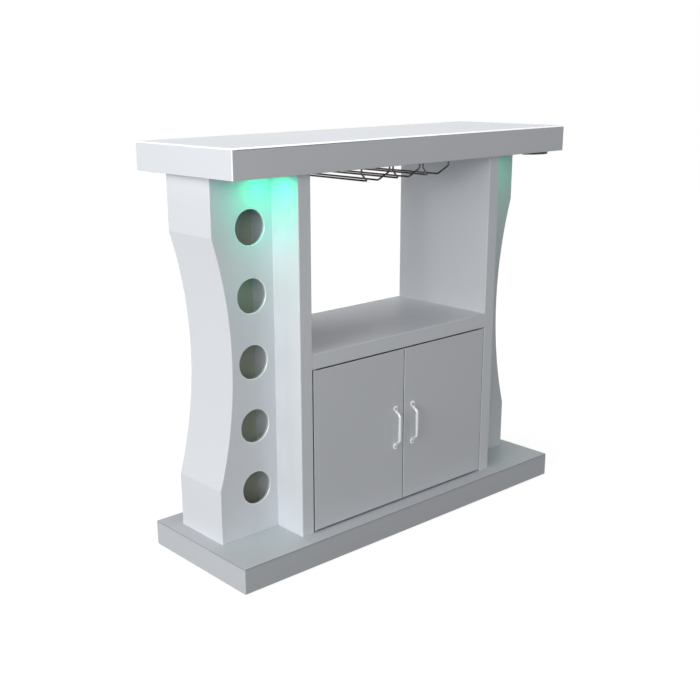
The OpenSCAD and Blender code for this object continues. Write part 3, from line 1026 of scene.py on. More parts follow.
@dataclass(frozen=True)
class GlowingLens:
    """Frosted lens in front of coloured diodes: brightest in its middle, deeper in colour at its rim.

    Args:
        centre: X and Y of the right lens's middle. The left one is its mirror image.
        radius: radius of the lens.
        bright: colour of the light in the middle.
        deep: colour of the light at the rim.
        rim_share: share of the radius where the colour begins to deepen.
        frost: colour of the unlit lens.
        rough: roughness of its face.
        strength: strength of the light.
    """

    centre: tuple[float, float]
    radius: float
    bright: Colour = (0.45, 1.00, 0.82)
    deep: Colour = (0.10, 0.85, 0.45)
    rim_share: float = 0.35
    frost: Colour = (0.75, 0.85, 0.80)
    rough: float = 0.45
    strength: float = 2.0

    def material(self, name: str) -> bpy.types.Material:
        """Builds the finish.

        Args:
            name: the material's name.

        Returns:
            The material.
        """
        recipe = Recipe.named(name)
        x, y, _ = recipe.axes()
        off_centre = distance(x.math("ABSOLUTE") - self.centre[0], y - self.centre[1])
        rim = off_centre.over(self.rim_share * self.radius, self.radius)
        return recipe.surface(
            {
                "Base Color": (*self.frost, 1.0),
                "Roughness": self.rough,
                "Emission Color": recipe.mix(rim, self.bright, self.deep),
                "Emission Strength": self.strength,
            }
        )


@dataclass
class Bench:
    """Where pieces are finished: it turns shells into objects, dresses them and logs them.

    Args:
        materials: the material of each slot.
        inside: the lacquer of the columns' insides, darker and greener than the rest: painted shade with
            a green cast.
    """

    materials: dict[Slot, bpy.types.Material]
    inside: bpy.types.Material

    def lay(
        self,
        name: str,
        shell: Shell,
        slot: Slot,
        nodes: Sequence[str],
        body: Body = Body.CARCASS,
        sharp_deg: float = SHARP_DEG,
        outward: bool = True,
        shade: Shade | None = None,
        inside: bool = False,
    ) -> None:
        """Makes a piece that stands for CAD nodes.

        Args:
            name: the piece's name.
            shell: its surface, in place.
            slot: the finish.
            nodes: the CAD nodes that it stands for.
            body: the body that carries it.
            sharp_deg: edges that turn by more than this stay sharp.
            outward: whether its faces still have to be turned outwards.
            shade: gives how much lighter the lacquer is at each point, as a painted highlight, and below
                zero how much darker, as painted shade.
            inside: whether it has the darker, greener lacquer of the columns' insides, which is painted
                shade.
        """
        mesh = shell.mesh(name, sharp_deg, outward, shade)
        piece = linked(name, mesh)
        mesh.materials.append(self.inside if inside else self.materials[slot])
        piece.modifiers.new("even_shading", "WEIGHTED_NORMAL").keep_sharp = True
        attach(piece, body.value)
        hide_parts(*nodes)
        log.info("%s: %d faces, stands for %s", name, len(mesh.polygons), ", ".join(nodes) or "nothing")

    def dress(self, node: str, slot: Slot) -> None:
        """Gives a CAD node that stays its finish.

        Args:
            node: the node.
            slot: the finish.
        """
        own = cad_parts[node]
        own.data.materials.clear()
        own.data.materials.append(self.materials[slot])
        log.info("%s: CAD node, dressed in %s", node, slot.value)

    def copy(self, node: str) -> None:
        """Makes a lacquered piece with a CAD node's own shape, smooth over its rounded edges.

        Args:
            node: the node that it stands for.
        """
        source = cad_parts[node].data
        points = np.empty(len(source.vertices) * 3)
        source.vertices.foreach_get("co", points)
        corners = np.empty(len(source.loops), int)
        source.loops.foreach_get("vertex_index", corners)
        shell = Shell().take(points.reshape(-1, 3), corners.reshape(-1, 3))
        self.lay(f"{node}_lacquered", shell, Slot.WHITE_LACQUER, [node], outward=False)


@dataclass
class Slab:
    """Thick hollow slab: boards with a thin rounded rim, over four rails with a fine joint between.

    The end rails run the whole depth. The joint over the front rail opens a little towards the left.

    Args:
        bench: where its pieces are finished.
        box: the slab's box.
        board_t: thickness of the boards.
        rim_t: thickness that the rim shows.
        rim_r: radius of the rim's upper edge.
        rim_steps: steps in the rim's round.
        corner_r: radius of the slab's upright corners.
        corner_steps: steps in each upright corner.
        ease: rounding of the rails' long edges.
        foot_ease: rounding of the rails' lower outer edges.
        foot_share: how far along that rounding, both ways, its middle ring lies.
        tight_joint: the joint's gap where it is closed.
        open_joint: the joint's gap over the front rail's left end.
        joint_depth: how far the joint reaches in under the rim.
        rim_shade: how much lighter the rim is, a painted highlight; below zero, a painted dark line over
            the joint under the rim.
        corner_shade: how much lighter the upright corners are, a painted highlight.
        front_shade: how much lighter the front face is; below zero, painted shade on the front.
    """

    bench: Bench
    box: Box
    board_t: float = 0.015
    rim_t: float = 0.0036
    rim_r: float = 0.0032
    rim_steps: int = 8
    corner_r: float = 0.0024
    corner_steps: int = 6
    ease: float = 0.0004
    foot_ease: float = 0.0014
    foot_share: float = 0.3
    tight_joint: float = 0.0002
    open_joint: float = 0.0022
    joint_depth: float = 0.0100
    # Painted light on the countertop: a highlight on the rim and the corners, and shade on the front.
    rim_shade: float = 0.22
    corner_shade: float = 0.12
    front_shade: float = -0.14

    def piece(self, node: str, levels: Sequence[Span], low: Span, high: Span, drop: float = 0.0) -> None:
        """Lays the part of the slab that lies between two corners in plan.

        The slab's own outline, drawn in by each level's inset, is held between the corners, so that
        only outer edges are rounded and drawn in.

        Args:
            node: the CAD node that it stands for.
            levels: a height and an inset for each ring, from the lowest up.
            low: lower corner of the part.
            high: higher corner of the part.
            drop: how far the upper half of its left end is lowered.
        """

        def plan(inset: float) -> Array:
            """The outline at an inset."""
            r = max(self.corner_r - inset, self.ease)
            outer = self.box.low[:2] + inset, self.box.high[:2] - inset
            return np.clip(round_rect(*outer, r, self.corner_steps), low, high)

        shell = stacked(plan, levels)
        middle_z = (levels[0][0] + levels[-1][0]) / 2
        for points in shell.points:
            share = 0.5 - points[:, 0] / self.box.size[0]
            points[:, 2] -= np.where(points[:, 2] > middle_z, drop * np.clip(share, 0.0, 1.0), 0.0)
        self.bench.lay(f"{node}_lacquered", shell, Slot.WHITE_LACQUER, [node], shade=self.shade)

    def shade(self, points: Array) -> Array:
        """Painted light on the rim's round, on the upright corners and on the front face.

        Args:
            points: points x 3.

        Returns:
            How much lighter each point is.
        """
        inset = np.minimum(points[:, :2] - self.box.low[:2], self.box.high[:2] - points[:, :2])
        depth = self.box.high[2] - points[:, 2]
        on_rim = (depth > TOUCH) & (depth < self.rim_t + TOUCH) & (inset.min(axis=1) < self.rim_r)
        on_corner = (inset < self.corner_r - TOUCH).all(axis=1)
        on_front = points[:, 1] < self.box.low[1] + TOUCH
        shades = [self.rim_shade, self.corner_shade, self.front_shade]
        return np.select([on_rim, on_corner, on_front], shades, 0.0)

    def board(self, node: str, low_x: float = -np.inf, high_x: float = np.inf) -> None:
        """A top board: drawn in under its rim by the joint's depth; a quarter round closes it above.

        Args:
            node: the CAD node that it stands for.
            low_x: where it begins.
            high_x: where it ends.
        """
        top = self.box.high[2]
        levels = [
            (top - self.board_t, self.joint_depth),
            (top - self.rim_t - 2 * self.ease, self.joint_depth),
            (top - self.rim_t, self.joint_depth - 2 * self.ease),
            (top - self.rim_t, self.ease),
            (top - self.rim_t + self.ease, 0.0),
        ]
        inset, depth = quarter_round(self.rim_r, self.rim_steps)
        levels += zip(top - depth, inset)
        self.piece(node, levels, (low_x, -np.inf), (high_x, np.inf))

    def rail(self, node: str, edge: Edge) -> None:
        """A rail along one side.

        Args:
            node: the CAD node that it stands for.
            edge: the side.
        """
        low_x, low_y = self.box.low[:2] + self.board_t
        high_x, high_y = self.box.high[:2] - self.board_t
        spans = {
            Edge.FRONT: ((low_x, -np.inf), (high_x, low_y)),
            Edge.BACK: ((low_x, high_y), (high_x, np.inf)),
            Edge.LEFT: ((-np.inf, -np.inf), (low_x, np.inf)),
            Edge.RIGHT: ((high_x, -np.inf), (np.inf, np.inf)),
        }
        foot = self.box.low[2]
        top = self.box.high[2] - self.rim_t - self.tight_joint
        part = self.foot_share * self.foot_ease
        levels = [(foot, self.foot_ease), (foot + part, part), (foot + self.foot_ease, 0.0)]
        levels += [(top - self.ease, 0.0), (top, self.ease)]
        drop = self.open_joint - self.tight_joint if edge is Edge.FRONT else 0.0
        self.piece(node, levels, *spans[edge], drop)


@dataclass
class Countertop:
    """Thick countertop: a slab with one board, and its underside."""

    bench: Bench

    def build(self) -> None:
        """Builds the board, the rails and the underside."""
        slab = Slab(self.bench, Box.of("countertop_board", "countertop_front", "countertop_back"))
        slab.board("countertop_board")
        for edge in Edge:
            slab.rail(f"countertop_{edge.value}", edge)
        self.bench.copy("countertop_underside")


@dataclass
class Base:
    """Thick base: a slab with three boards, on turned glides.

    Args:
        bench: where its pieces are finished.
        glide_rim: rounding of the glides' lower rim.
        block_w: width of the corner blocks over the outer glides.
        bearer_w: width of the bearers over the inner glides.
    """

    bench: Bench
    glide_rim: float = 0.0010
    block_w: float = 0.040
    bearer_w: float = 0.030

    def build(self) -> None:
        """Builds what shows and dresses what is inside."""
        rails = {edge: f"base_{edge.value}_rail" for edge in Edge}
        slab = Slab(
            self.bench,
            Box.of(*rails.values(), "base_top_middle"),
            rim_t=0.0020,
            rim_r=0.0016,
            open_joint=0.0010,
            tight_joint=0.0008,
            # Painted shade: a dark line on the base's rim, over the joint under it.
            rim_shade=-0.35,
            corner_shade=0.06,
            front_shade=0.0,
        )
        for edge, node in rails.items():
            slab.rail(node, edge)
        left, middle, right = (Box.of(f"base_top_{word}") for word in THIRDS)
        slab.board("base_top_left", high_x=left.high[0])
        slab.board("base_top_middle", middle.low[0], middle.high[0])
        slab.board("base_top_right", low_x=right.low[0])
        for node in ("base_bearers", "base_corner_blocks"):
            self.bench.dress(node, Slot.RAW_BOARD)
        self.glides()

    def glides(self) -> None:
        """Round glides with an eased lower rim, one at each corner and at each end of the bearers."""
        box = Box.of("floor_glides")
        blocks, bearers = Box.of("base_corner_blocks"), Box.of("base_bearers")
        xs = (blocks.high[0] - self.block_w / 2, bearers.high[0] - self.bearer_w / 2)
        r, h, rim = box.high[0] - xs[0], box.size[2], self.glide_rim
        profile = np.array([[0.0, 0.0], [r - rim, 0.0], [r, rim], [r, h], [0.0, h]])
        y = box.high[1] - r
        places = [(side.value * x, end * y, 0.0) for x in xs for side in Side for end in (-1, 1)]
        shell = together([placed(turned(profile), place) for place in places])
        self.bench.lay("floor_glides_turned", shell, Slot.GLIDE_PLASTIC, ["floor_glides"])


@dataclass
class Cabinet:
    """Carcass of the cabinet: two thick sides, a thick shelf and a back."""

    bench: Bench

    def build(self) -> None:
        """Builds every panel with the CAD's own outline, smooth over the rounded edges."""
        for side in Side:
            for piece in ("outer", "inner", "posts"):
                self.bench.copy(f"side_{piece}_{side.word}")
        for piece in ("top", "bottom", "front_lipping", "back_lipping"):
            self.bench.copy(f"shelf_{piece}")
        self.bench.copy("cabinet_back")


@dataclass
class Door:
    """One door with its handle, screws, bushes and strike plate.

    Args:
        bench: where its pieces are finished.
        side: the end of the counter that it is on.
        edge_r: rounding of its edges.
        face_shade: how much lighter its faces are; below zero, painted shade.
        gap_shade: how much lighter its edges are; below zero, painted shade in the gaps round the door.
        round_shade: how much lighter the round is where the doors meet, a painted highlight.
        lobe_r: radius of the lobe at each end of the handle.
        lobe_half_t: half the lobe's thickness.
        leg_start: where the leg leaves the lobe, in lobe radii from the tip.
        neck_run: length over which the lobe narrows to the neck, in lobe radii.
        neck_half_w: half the neck's width.
        grip_run: length over which the neck grows to the grip, in lobe radii.
        grip_half_w: half the grip's width.
        grip_half_len: half the grip's length.
        swell_start: where the thickness begins to grow, in lobe radii past the lobe.
        swell_run: length over which it grows, in lobe radii.
        lobe_power: power of the lobe's section.
        power_drop: how much lower the grip's power is.
        bend_r: radius of the handle's bends.
        tip_round: length over which the tips are rounded.
        tip_least: least share of the thickness, squared, at the tips.
        path_points: points along the handle.
        section_points: points round the handle.
        dimple_r: radius of the seat for a screw's head.
        dimple_depth: depth of the seat.
        dimple_wall: width of the seat's wall as a share of its radius.
        head_h: height of a screw's head.
        flange_t: thickness of a bush's flange.
        shaft_r: radius of a bush's shaft.
        shaft_len: length of a bush's shaft.
        bore_r: radius of a bush's bore.
        flange_ease: rounding of the flange.
        strike_r: radius of the strike plate's corners.
        strike_ease: rounding of its edges.
    """

    bench: Bench
    side: Side
    edge_r: float = 0.0013
    face_shade: float = -0.09
    gap_shade: float = -0.85
    round_shade: float = 0.10
    lobe_r: float = 0.0085
    lobe_half_t: float = 0.0020
    leg_start: float = 1.9
    neck_run: float = 1.2
    neck_half_w: float = 0.0040
    grip_run: float = 2.0
    grip_half_w: float = 0.0041
    grip_half_len: float = 0.038
    swell_start: float = 0.3
    swell_run: float = 1.1
    lobe_power: float = 3.4
    power_drop: float = 1.2
    bend_r: float = 0.009
    tip_round: float = 0.0016
    tip_least: float = 0.02
    path_points: int = 260
    section_points: int = 36
    dimple_r: float = 0.0046
    dimple_depth: float = 0.0009
    dimple_wall: float = 0.25
    head_h: float = 0.002
    flange_t: float = 0.0015
    shaft_r: float = 0.0040
    shaft_len: float = 0.0120
    bore_r: float = 0.00255
    flange_ease: float = 0.0004
    strike_r: float = 0.0015
    strike_ease: float = 0.0003

    @property
    def body(self) -> Body:
        """The body that carries the door."""
        return Body.LEFT_DOOR if self.side is Side.LEFT else Body.RIGHT_DOOR

    def build(self) -> None:
        """Builds the door and all that moves with it."""
        box = self.box("door")
        self.lay("door", rounded_block(box.low, box.high, self.edge_r), Slot.WHITE_LACQUER, self.shade)
        self.handle()
        self.handle_screws()
        self.bushes()
        self.strike()

    def box(self, word: str) -> Box:
        """Box of one of the door's nodes."""
        return Box.of(f"{word}_{self.side.word}")

    def lay(self, word: str, shell: Shell, slot: Slot, shade: Shade | None = None) -> None:
        """Finishes one piece of the door."""
        node = f"{word}_{self.side.word}"
        self.bench.lay(f"{node}_finished", shell, slot, [node], self.body, shade=shade)

    def shade(self, points: Array) -> Array:
        """Painted light: shade on the four edges in the gaps, a highlight on the round where the doors
        meet, and shade on the faces.

        Args:
            points: points x 3.

        Returns:
            How much lighter each point is.
        """
        box = self.box("door")
        meeting = box.high[0] if self.side is Side.LEFT else box.low[0]
        beside, behind = np.abs(points[:, 0] - meeting), points[:, 1] - box.low[1]
        inset = np.minimum(points - box.low, box.high - points)[:, ::2].min(axis=1)
        in_gap = (inset < TOUCH) & (behind > self.edge_r - TOUCH)
        on_round = (beside < self.edge_r - TOUCH) & (behind > TOUCH) & (behind < self.edge_r - TOUCH)
        return np.select([in_gap, on_round], [self.gap_shade, self.round_shade], self.face_shade)

    def handle(self) -> None:
        """Cast pull: a leaf-shaped lobe at each end flows through a bent leg into the grip.

        The width is a circle's chord over each lobe and eases to the neck and the grip; the thickness
        grows from the flat lobe to the round grip.
        """
        box = self.box("handle")
        x, _, middle_z = box.middle
        grip_y = box.low[1] + self.grip_half_w
        lobe_y = box.high[1] - self.lobe_half_t
        half = box.size[2] / 2
        leg = half - self.leg_start * self.lobe_r
        ends = ((lobe_y, -half), (lobe_y, -leg), (grip_y, -self.grip_half_len))
        places = [*ends, *((y, -z) for y, z in reversed(ends))]
        corners = np.array([[x, y, middle_z + z] for y, z in places])
        path = resampled(bent_path(corners, self.bend_r), self.path_points)
        run = run_lengths(path)
        from_tip = np.minimum(run, run[-1] - run)
        chord = np.sqrt(np.maximum(self.lobe_r**2 - (self.lobe_r - from_tip) ** 2, TINY))
        past_lobe = (from_tip - self.lobe_r) / self.lobe_r
        neck = smooth_step(past_lobe / self.neck_run)
        grip = smooth_step((past_lobe - self.neck_run) / self.grip_run)
        leaf = self.lobe_r + (self.neck_half_w - self.lobe_r) * neck
        leaf = leaf + (self.grip_half_w - self.neck_half_w) * grip
        wide = np.where(past_lobe < 0, chord, leaf)
        swell = smooth_step((past_lobe - self.swell_start) / self.swell_run)
        thick = self.lobe_half_t + (self.grip_half_w - self.lobe_half_t) * swell
        thick = thick * np.sqrt(np.clip(from_tip / self.tip_round, self.tip_least, 1.0))
        power = self.lobe_power - self.power_drop * swell
        shell = swept(path, ALONG_X, wide, thick, power, self.section_points)
        screws = self.box("handle_screws")
        screw_r = screws.size[0] / 2
        for z in (screws.low[2] + screw_r, screws.high[2] - screw_r):
            shell.points = [self.dimpled(points, np.array([x, z]), lobe_y) for points in shell.points]
        self.lay("handle", shell, Slot.HANDLE_METAL)

    def dimpled(self, points: Array, centre: Array, lobe_y: float) -> Array:
        """Presses a round seat for a screw head into the lobe's outer face, smooth at its edge.

        Args:
            points: the handle's points.
            centre: X and Z of the seat's middle.
            lobe_y: Y of the lobe's middle; points nearer the front are pressed in.

        Returns:
            The moved points.
        """
        off_centre = np.linalg.norm(points[:, [0, 2]] - centre, axis=1)
        inside = smooth_step((self.dimple_r - off_centre) / (self.dimple_wall * self.dimple_r))
        moved = points.copy()
        moved[:, 1] += np.where(points[:, 1] < lobe_y, self.dimple_depth * inside, 0.0)
        return moved

    def handle_screws(self) -> None:
        """Two domed screws with a cross recess, from the lobe's face into the door."""
        box = self.box("handle_screws")
        head_r = box.size[0] / 2
        form = ScrewForm(head_r, self.head_h, box.size[1])
        y = box.low[1] + self.head_h
        places = [(box.middle[0], y, z) for z in (box.low[2] + head_r, box.high[2] - head_r)]
        shells = [placed(form.shell(), place, TO_FRONT) for place in places]
        self.lay("handle_screws", together(shells), Slot.STEEL_HARDWARE)

    def bushes(self) -> None:
        """Flanged bushes in the door's lower and upper edge, bored for the pins."""
        box = self.box("hinge_bushes")
        flange_r = box.size[0] / 2
        profile = np.array(
            [
                [self.bore_r, 0.0],
                [flange_r - self.flange_ease, 0.0],
                [flange_r, self.flange_ease],
                [flange_r, self.flange_t],
                [self.shaft_r, self.flange_t],
                [self.shaft_r, self.flange_t + self.shaft_len],
                [self.bore_r, self.flange_t + self.shaft_len],
            ]
        )
        x, y = box.middle[:2]
        ends = ((box.low[2], UP), (box.high[2], DOWN))
        shells = [placed(turned(profile, hollow=True), (x, y, z), up) for z, up in ends]
        self.lay("hinge_bushes", together(shells), Slot.BUSH_PLASTIC)

    def strike(self) -> None:
        """Thin steel plate with rounded corners on the door's back."""
        box = self.box("strike")
        plan = rect_plan(box.low[[0, 2]], box.high[[0, 2]], self.strike_r)
        flat = stacked(plan, eased_levels(box.low[1], box.high[1], self.strike_ease))
        flat.points = [points[:, [0, 2, 1]] for points in flat.points]
        self.lay("strike", flat, Slot.STEEL_HARDWARE)


@dataclass
class Column:
    """Bottle column: a front panel with round holes, a partition, a back and a curved end.

    Args:
        bench: where its pieces are finished.
        side: the end of the counter that it is on.
        waist_sag: depth of the curve.
        waist_end: straight length over and under the curve.
        hole_r: radius of the holes.
        hole_count: number of holes.
        hole_pitch: distance between the holes' centres.
        hole_inset: distance of the holes' centres from the cabinet.
        hole_drop: how far the middle hole lies under the panel's middle.
        edge_r: rounding of the panel's outer edge.
        edge_steps: steps in that rounding.
        rim_r: rounding of the holes' rims.
        rim_steps: steps in that rounding.
        rim_shade: how much lighter the rims and bores are, a painted highlight.
        rim_share: share of the rounding that is lighter.
        cell_rows: rows of points beside a hole.
        cell_columns: columns of points over a hole.
        board_rows: rows of points on the other boards.
        sharp_deg: edges that turn by more than this stay sharp.
    """

    bench: Bench
    side: Side
    waist_sag: float = 0.050
    waist_end: float = 0.150
    hole_r: float = 0.045
    hole_count: int = 5
    hole_pitch: float = 0.1728
    hole_inset: float = 0.070
    hole_drop: float = 0.002
    edge_r: float = 0.0022
    edge_steps: int = 8
    rim_r: float = 0.0020
    rim_steps: int = 6
    rim_shade: float = 0.14
    rim_share: float = 0.9
    cell_rows: int = 8
    cell_columns: int = 6
    board_rows: int = 64
    sharp_deg: float = 14.0

    def __post_init__(self) -> None:
        """Takes the column's size from its front panel, as on the right."""
        box = self.box("hole_panel")
        reach = np.sort(np.abs([box.low[0], box.high[0]]))
        self.inner_x, self.outer_x = float(reach[0]), float(reach[1])
        self.low_z, self.high_z = float(box.low[2]), float(box.high[2])
        self.middle_z = float(box.middle[2])
        self.front, self.back = box.low[1], box.high[1]
        half = box.size[2] / 2 - self.waist_end
        self.kinks = self.middle_z + np.array([-half, half])
        self.waist_r = (half**2 + self.waist_sag**2) / (2 * self.waist_sag)
        self.waist_x = self.outer_x - self.waist_sag + self.waist_r
        steps = np.arange(self.hole_count) - (self.hole_count - 1) / 2
        self.holes = self.middle_z - self.hole_drop + steps * self.hole_pitch

    def box(self, word: str) -> Box:
        """Box of one of the column's nodes."""
        return Box.of(f"{word}_{self.side.word}")

    def build(self) -> None:
        """Builds the four boards."""
        self.hole_panel()
        skin_t = self.box("column_partition").size[1]
        self.board("column_partition", self.inner_x, skin_t)
        self.board("column_back", self.inner_x, 0.0)
        self.board("column_end", None, skin_t)

    def waist(self, z: Array, inset: float = 0.0) -> Array:
        """Reach of the curved end at a height: the straight end or, if nearer, the circle's side.

        The circle's side is its centre less the root of its radius, grown by the inset, squared less
        the height from its centre squared.

        Args:
            z: heights.
            inset: how far inside the outline the reach is taken.

        Returns:
            The reach at each height.
        """
        rise = (z - self.middle_z) ** 2
        under_root = np.maximum((self.waist_r + inset) ** 2 - rise, 0.0)
        return np.minimum(self.outer_x - inset, self.waist_x - np.sqrt(under_root))

    def heights(self, low: float, high: float, rows: int) -> Array:
        """Even heights from low to high, with the curve's own two ends among them."""
        inside = self.kinks[(self.kinks > low) & (self.kinks < high)]
        return np.unique(np.concatenate([np.linspace(low, high, rows + 1), inside]))

    def lay(self, word: str, shell: Shell, shade: Shade | None = None) -> None:
        """Mirrors a shell to the column's own side and finishes it.

        Args:
            word: start of the node's name.
            shell: the piece as on the right.
            shade: gives how much lighter the lacquer is at each point, a painted highlight.
        """
        node = f"{word}_{self.side.word}"
        shell.points = [points * np.array([self.side.value, 1.0, 1.0]) for points in shell.points]
        self.bench.lay(
            f"{node}_lacquered",
            shell,
            Slot.WHITE_LACQUER,
            [node],
            sharp_deg=self.sharp_deg,
            shade=shade,
            # The partition inside the column takes the inner lacquer, painted shade with a green cast.
            inside=word == "column_partition",
        )

    def shade(self, points: Array) -> Array:
        """The painted highlight on the holes' rims and bores.

        Args:
            points: points x 3.

        Returns:
            How much lighter each point is.
        """
        beside = np.abs(points[:, 0]) - self.inner_x - self.hole_inset
        above = np.abs(points[:, 2, None] - self.holes).min(axis=1)
        on_rim = np.hypot(beside, above) < self.hole_r + self.rim_share * self.rim_r
        return np.where(on_rim, self.rim_shade, 0.0)

    def board(self, word: str, inner_x: float | None, skin_t: float) -> None:
        """Board that follows the curve: a rectangle in plan carried up from the base.

        Args:
            word: start of the node's name.
            inner_x: its straight edge, or None where it is a skin along the curve.
            skin_t: thickness of the skin along the curve.
        """
        box = self.box(word)
        z = self.heights(self.low_z, self.high_z, self.board_rows)
        if inner_x is None:
            near, far = self.waist(z, skin_t), self.waist(z)
        else:
            near, far = np.full_like(z, inner_x), self.waist(z, skin_t)
        low_y, high_y = np.full_like(z, box.low[1]), np.full_like(z, box.high[1])
        corners = ((near, low_y), (far, low_y), (far, high_y), (near, high_y))
        rings = np.stack([np.stack([x, y, z], axis=-1) for x, y in corners], axis=1)
        self.lay(word, Shell().tube(rings))

    def hole_panel(self) -> None:
        """Front panel: a cell round each hole, and the four narrow sides with the outer edge rounded."""
        between = (self.holes[:-1] + self.holes[1:]) / 2
        limits = np.concatenate([[self.low_z], between, [self.high_z]])
        shell = Shell()
        levels = []
        for hole_z, low, high in zip(self.holes, limits[:-1], limits[1:]):
            cell_z = self.heights(low, high, self.cell_rows)
            shell.grid(self.cell(hole_z, cell_z), around=True)
            levels.append(cell_z)
        z = np.unique(np.concatenate(levels))
        edge = self.edge_profile(self.waist(z))
        rows = np.broadcast_to(z[:, None, None], (*edge.shape[:2], 1))
        shell.grid(np.concatenate([edge, rows], axis=2))
        inner = np.stack([np.full_like(z, self.inner_x), np.full_like(z, self.front), z], axis=-1)
        shell.grid(np.stack([inner, inner + np.array([0.0, self.back - self.front, 0.0])], axis=1))
        for end in (self.low_z, self.high_z):
            shell.cap(self.end_ring(end))
        self.lay("hole_panel", shell, self.shade)

    def edge_profile(self, reach: Array) -> Array:
        """Outer edge in plan at each height: a quarter round from the front, and then the back.

        Args:
            reach: the curve's reach at each height.

        Returns:
            Heights x points x 2.
        """
        behind, short = quarter_round(self.edge_r, self.edge_steps)
        x = reach[:, None] - short
        rounded = np.stack([x, np.broadcast_to(self.front + behind, x.shape)], axis=-1)
        last = np.stack([reach, np.full_like(reach, self.back)], axis=-1)
        return np.concatenate([rounded, last[:, None]], axis=1)

    def level_x(self, z: float, inset: float) -> Array:
        """Even places across the panel at a height, out to the curve less an inset."""
        reach = float(self.waist(np.array([z]))[0]) - inset
        return np.linspace(self.inner_x, reach, self.cell_columns + 1)

    def end_ring(self, z: float) -> Array:
        """Outline of the panel's lower or upper end.

        Args:
            z: height of the end.

        Returns:
            Points x 3.
        """
        front_x, back_x = self.level_x(z, self.edge_r), self.level_x(z, 0.0)[::-1]
        before = np.insert(front_x[:-1, None], 1, self.front, axis=1)
        after = np.insert(back_x[1:, None], 1, self.back, axis=1)
        plan = np.concatenate([before, self.edge_profile(back_x[:1])[0], after])
        return np.insert(plan, 2, z, axis=1)

    def cell_outline(self, z: Array, inset: float) -> Array:
        """Outline of a hole's cell, anticlockwise from its lower inner corner.

        Args:
            z: heights of the rows beside the hole.
            inset: how far the outer side lies inside the curve.

        Returns:
            Points x 2, each an X and a Z.
        """
        low_x, high_x = self.level_x(z[0], inset), self.level_x(z[-1], inset)
        x = np.concatenate(
            [low_x[:-1], self.waist(z[:-1]) - inset, high_x[:0:-1], np.full(len(z) - 1, self.inner_x)]
        )
        heights = np.concatenate(
            [np.full(len(low_x) - 1, z[0]), z[:-1], np.full(len(high_x) - 1, z[-1]), z[:0:-1]]
        )
        return np.stack([x, heights], axis=-1)

    def cell(self, hole_z: float, z: Array) -> Array:
        """One hole's cell as a grid, from its outline on the front, through the bore, to the back.

        Every column keeps the direction in which its point of the outline lies from the hole's centre;
        the rims are quarter rounds, with radius R plus r (1 less sin a) at the depth r (1 less cos a).

        Args:
            hole_z: height of the hole's centre.
            z: heights of the rows beside the hole.

        Returns:
            Rows x columns x 3.
        """
        centre = np.array([self.inner_x + self.hole_inset, hole_z])
        front_ring, back_ring = self.cell_outline(z, self.edge_r), self.cell_outline(z, 0.0)
        direction = unit(front_ring - centre)
        depth, wider = quarter_round(self.rim_r, self.rim_steps)
        radius = self.hole_r + wider
        radii = np.concatenate([radius, radius[::-1]])
        bore = centre + radii[:, None, None] * direction[None]
        flat = np.concatenate([front_ring[None], bore, back_ring[None]])
        ys = np.concatenate([[self.front], self.front + depth, self.back - depth[::-1], [self.back]])
        depths = np.broadcast_to(ys[:, None], flat.shape[:2])
        return np.stack([flat[..., 0], depths, flat[..., 1]], axis=-1)


@dataclass
class DoorHardware:
    """What the doors meet: hinge pins with collars, and the double magnetic catch.

    Args:
        bench: where its pieces are finished.
        pin_r: radius of a pin.
        pin_len: length of a lower pin.
        upper_len: length of an upper pin.
        tip: bevel at a pin's ends.
        collar_h: height of a lower pin's collar.
        catch_r: radius of the catch's corners.
        catch_ease: rounding of its edges.
        groove_half: half the width of its groove.
        groove_depth: depth of the groove.
    """

    bench: Bench
    pin_r: float = 0.0025
    pin_len: float = 0.0238
    upper_len: float = 0.0218
    tip: float = 0.0008
    collar_h: float = 0.0032
    catch_r: float = 0.0015
    catch_ease: float = 0.0008
    groove_half: float = 0.0006
    groove_depth: float = 0.0005

    def build(self) -> None:
        """Builds the pins and the catch."""
        self.pins()
        self.catch()

    def pins(self) -> None:
        """Turned pins: the lower ones have a collar that carries the door."""
        box = Box.of("hinge_pins")
        x, y = Box.of("hinge_bushes_right").middle[:2]
        low, high = box.low[2], box.high[2]
        base_z = Box.of("base_top_middle").high[2]
        collar_r = box.high[0] - x
        narrow = self.pin_r - self.tip
        lower = np.array(
            [
                [0.0, low],
                [narrow, low],
                [self.pin_r, low + self.tip],
                [self.pin_r, base_z],
                [collar_r, base_z],
                [collar_r, base_z + self.collar_h],
                [self.pin_r, base_z + self.collar_h],
                [self.pin_r, low + self.pin_len - self.tip],
                [narrow, low + self.pin_len],
                [0.0, low + self.pin_len],
            ]
        )
        end = high - self.upper_len
        upper = np.array(
            [[0.0, end], [narrow, end], [self.pin_r, end + self.tip], [self.pin_r, high], [0.0, high]]
        )
        places = both_sides(x, y, 0.0)
        shells = [placed(turned(p, PIN_TURNS), place) for p in (lower, upper) for place in places]
        self.bench.lay("hinge_pins_turned", together(shells), Slot.STEEL_HARDWARE, ["hinge_pins"])

    def catch(self) -> None:
        """Moulded body with rounded corners and a shallow groove round its middle."""
        box = Box.of("magnet_catch")
        z, half = box.middle[2], self.groove_half
        levels = eased_levels(box.low[2], box.high[2], self.catch_ease)
        middle = len(levels) // 2
        groove = [(z - half, 0.0), (z, self.groove_depth), (z + half, 0.0)]
        plan = rect_plan(box.low[:2], box.high[:2], self.catch_r, share=0.5)
        shell = stacked(plan, levels[:middle] + groove + levels[middle:])
        self.bench.lay("magnet_catch_moulded", shell, Slot.WHITE_PLASTIC, ["magnet_catch"])


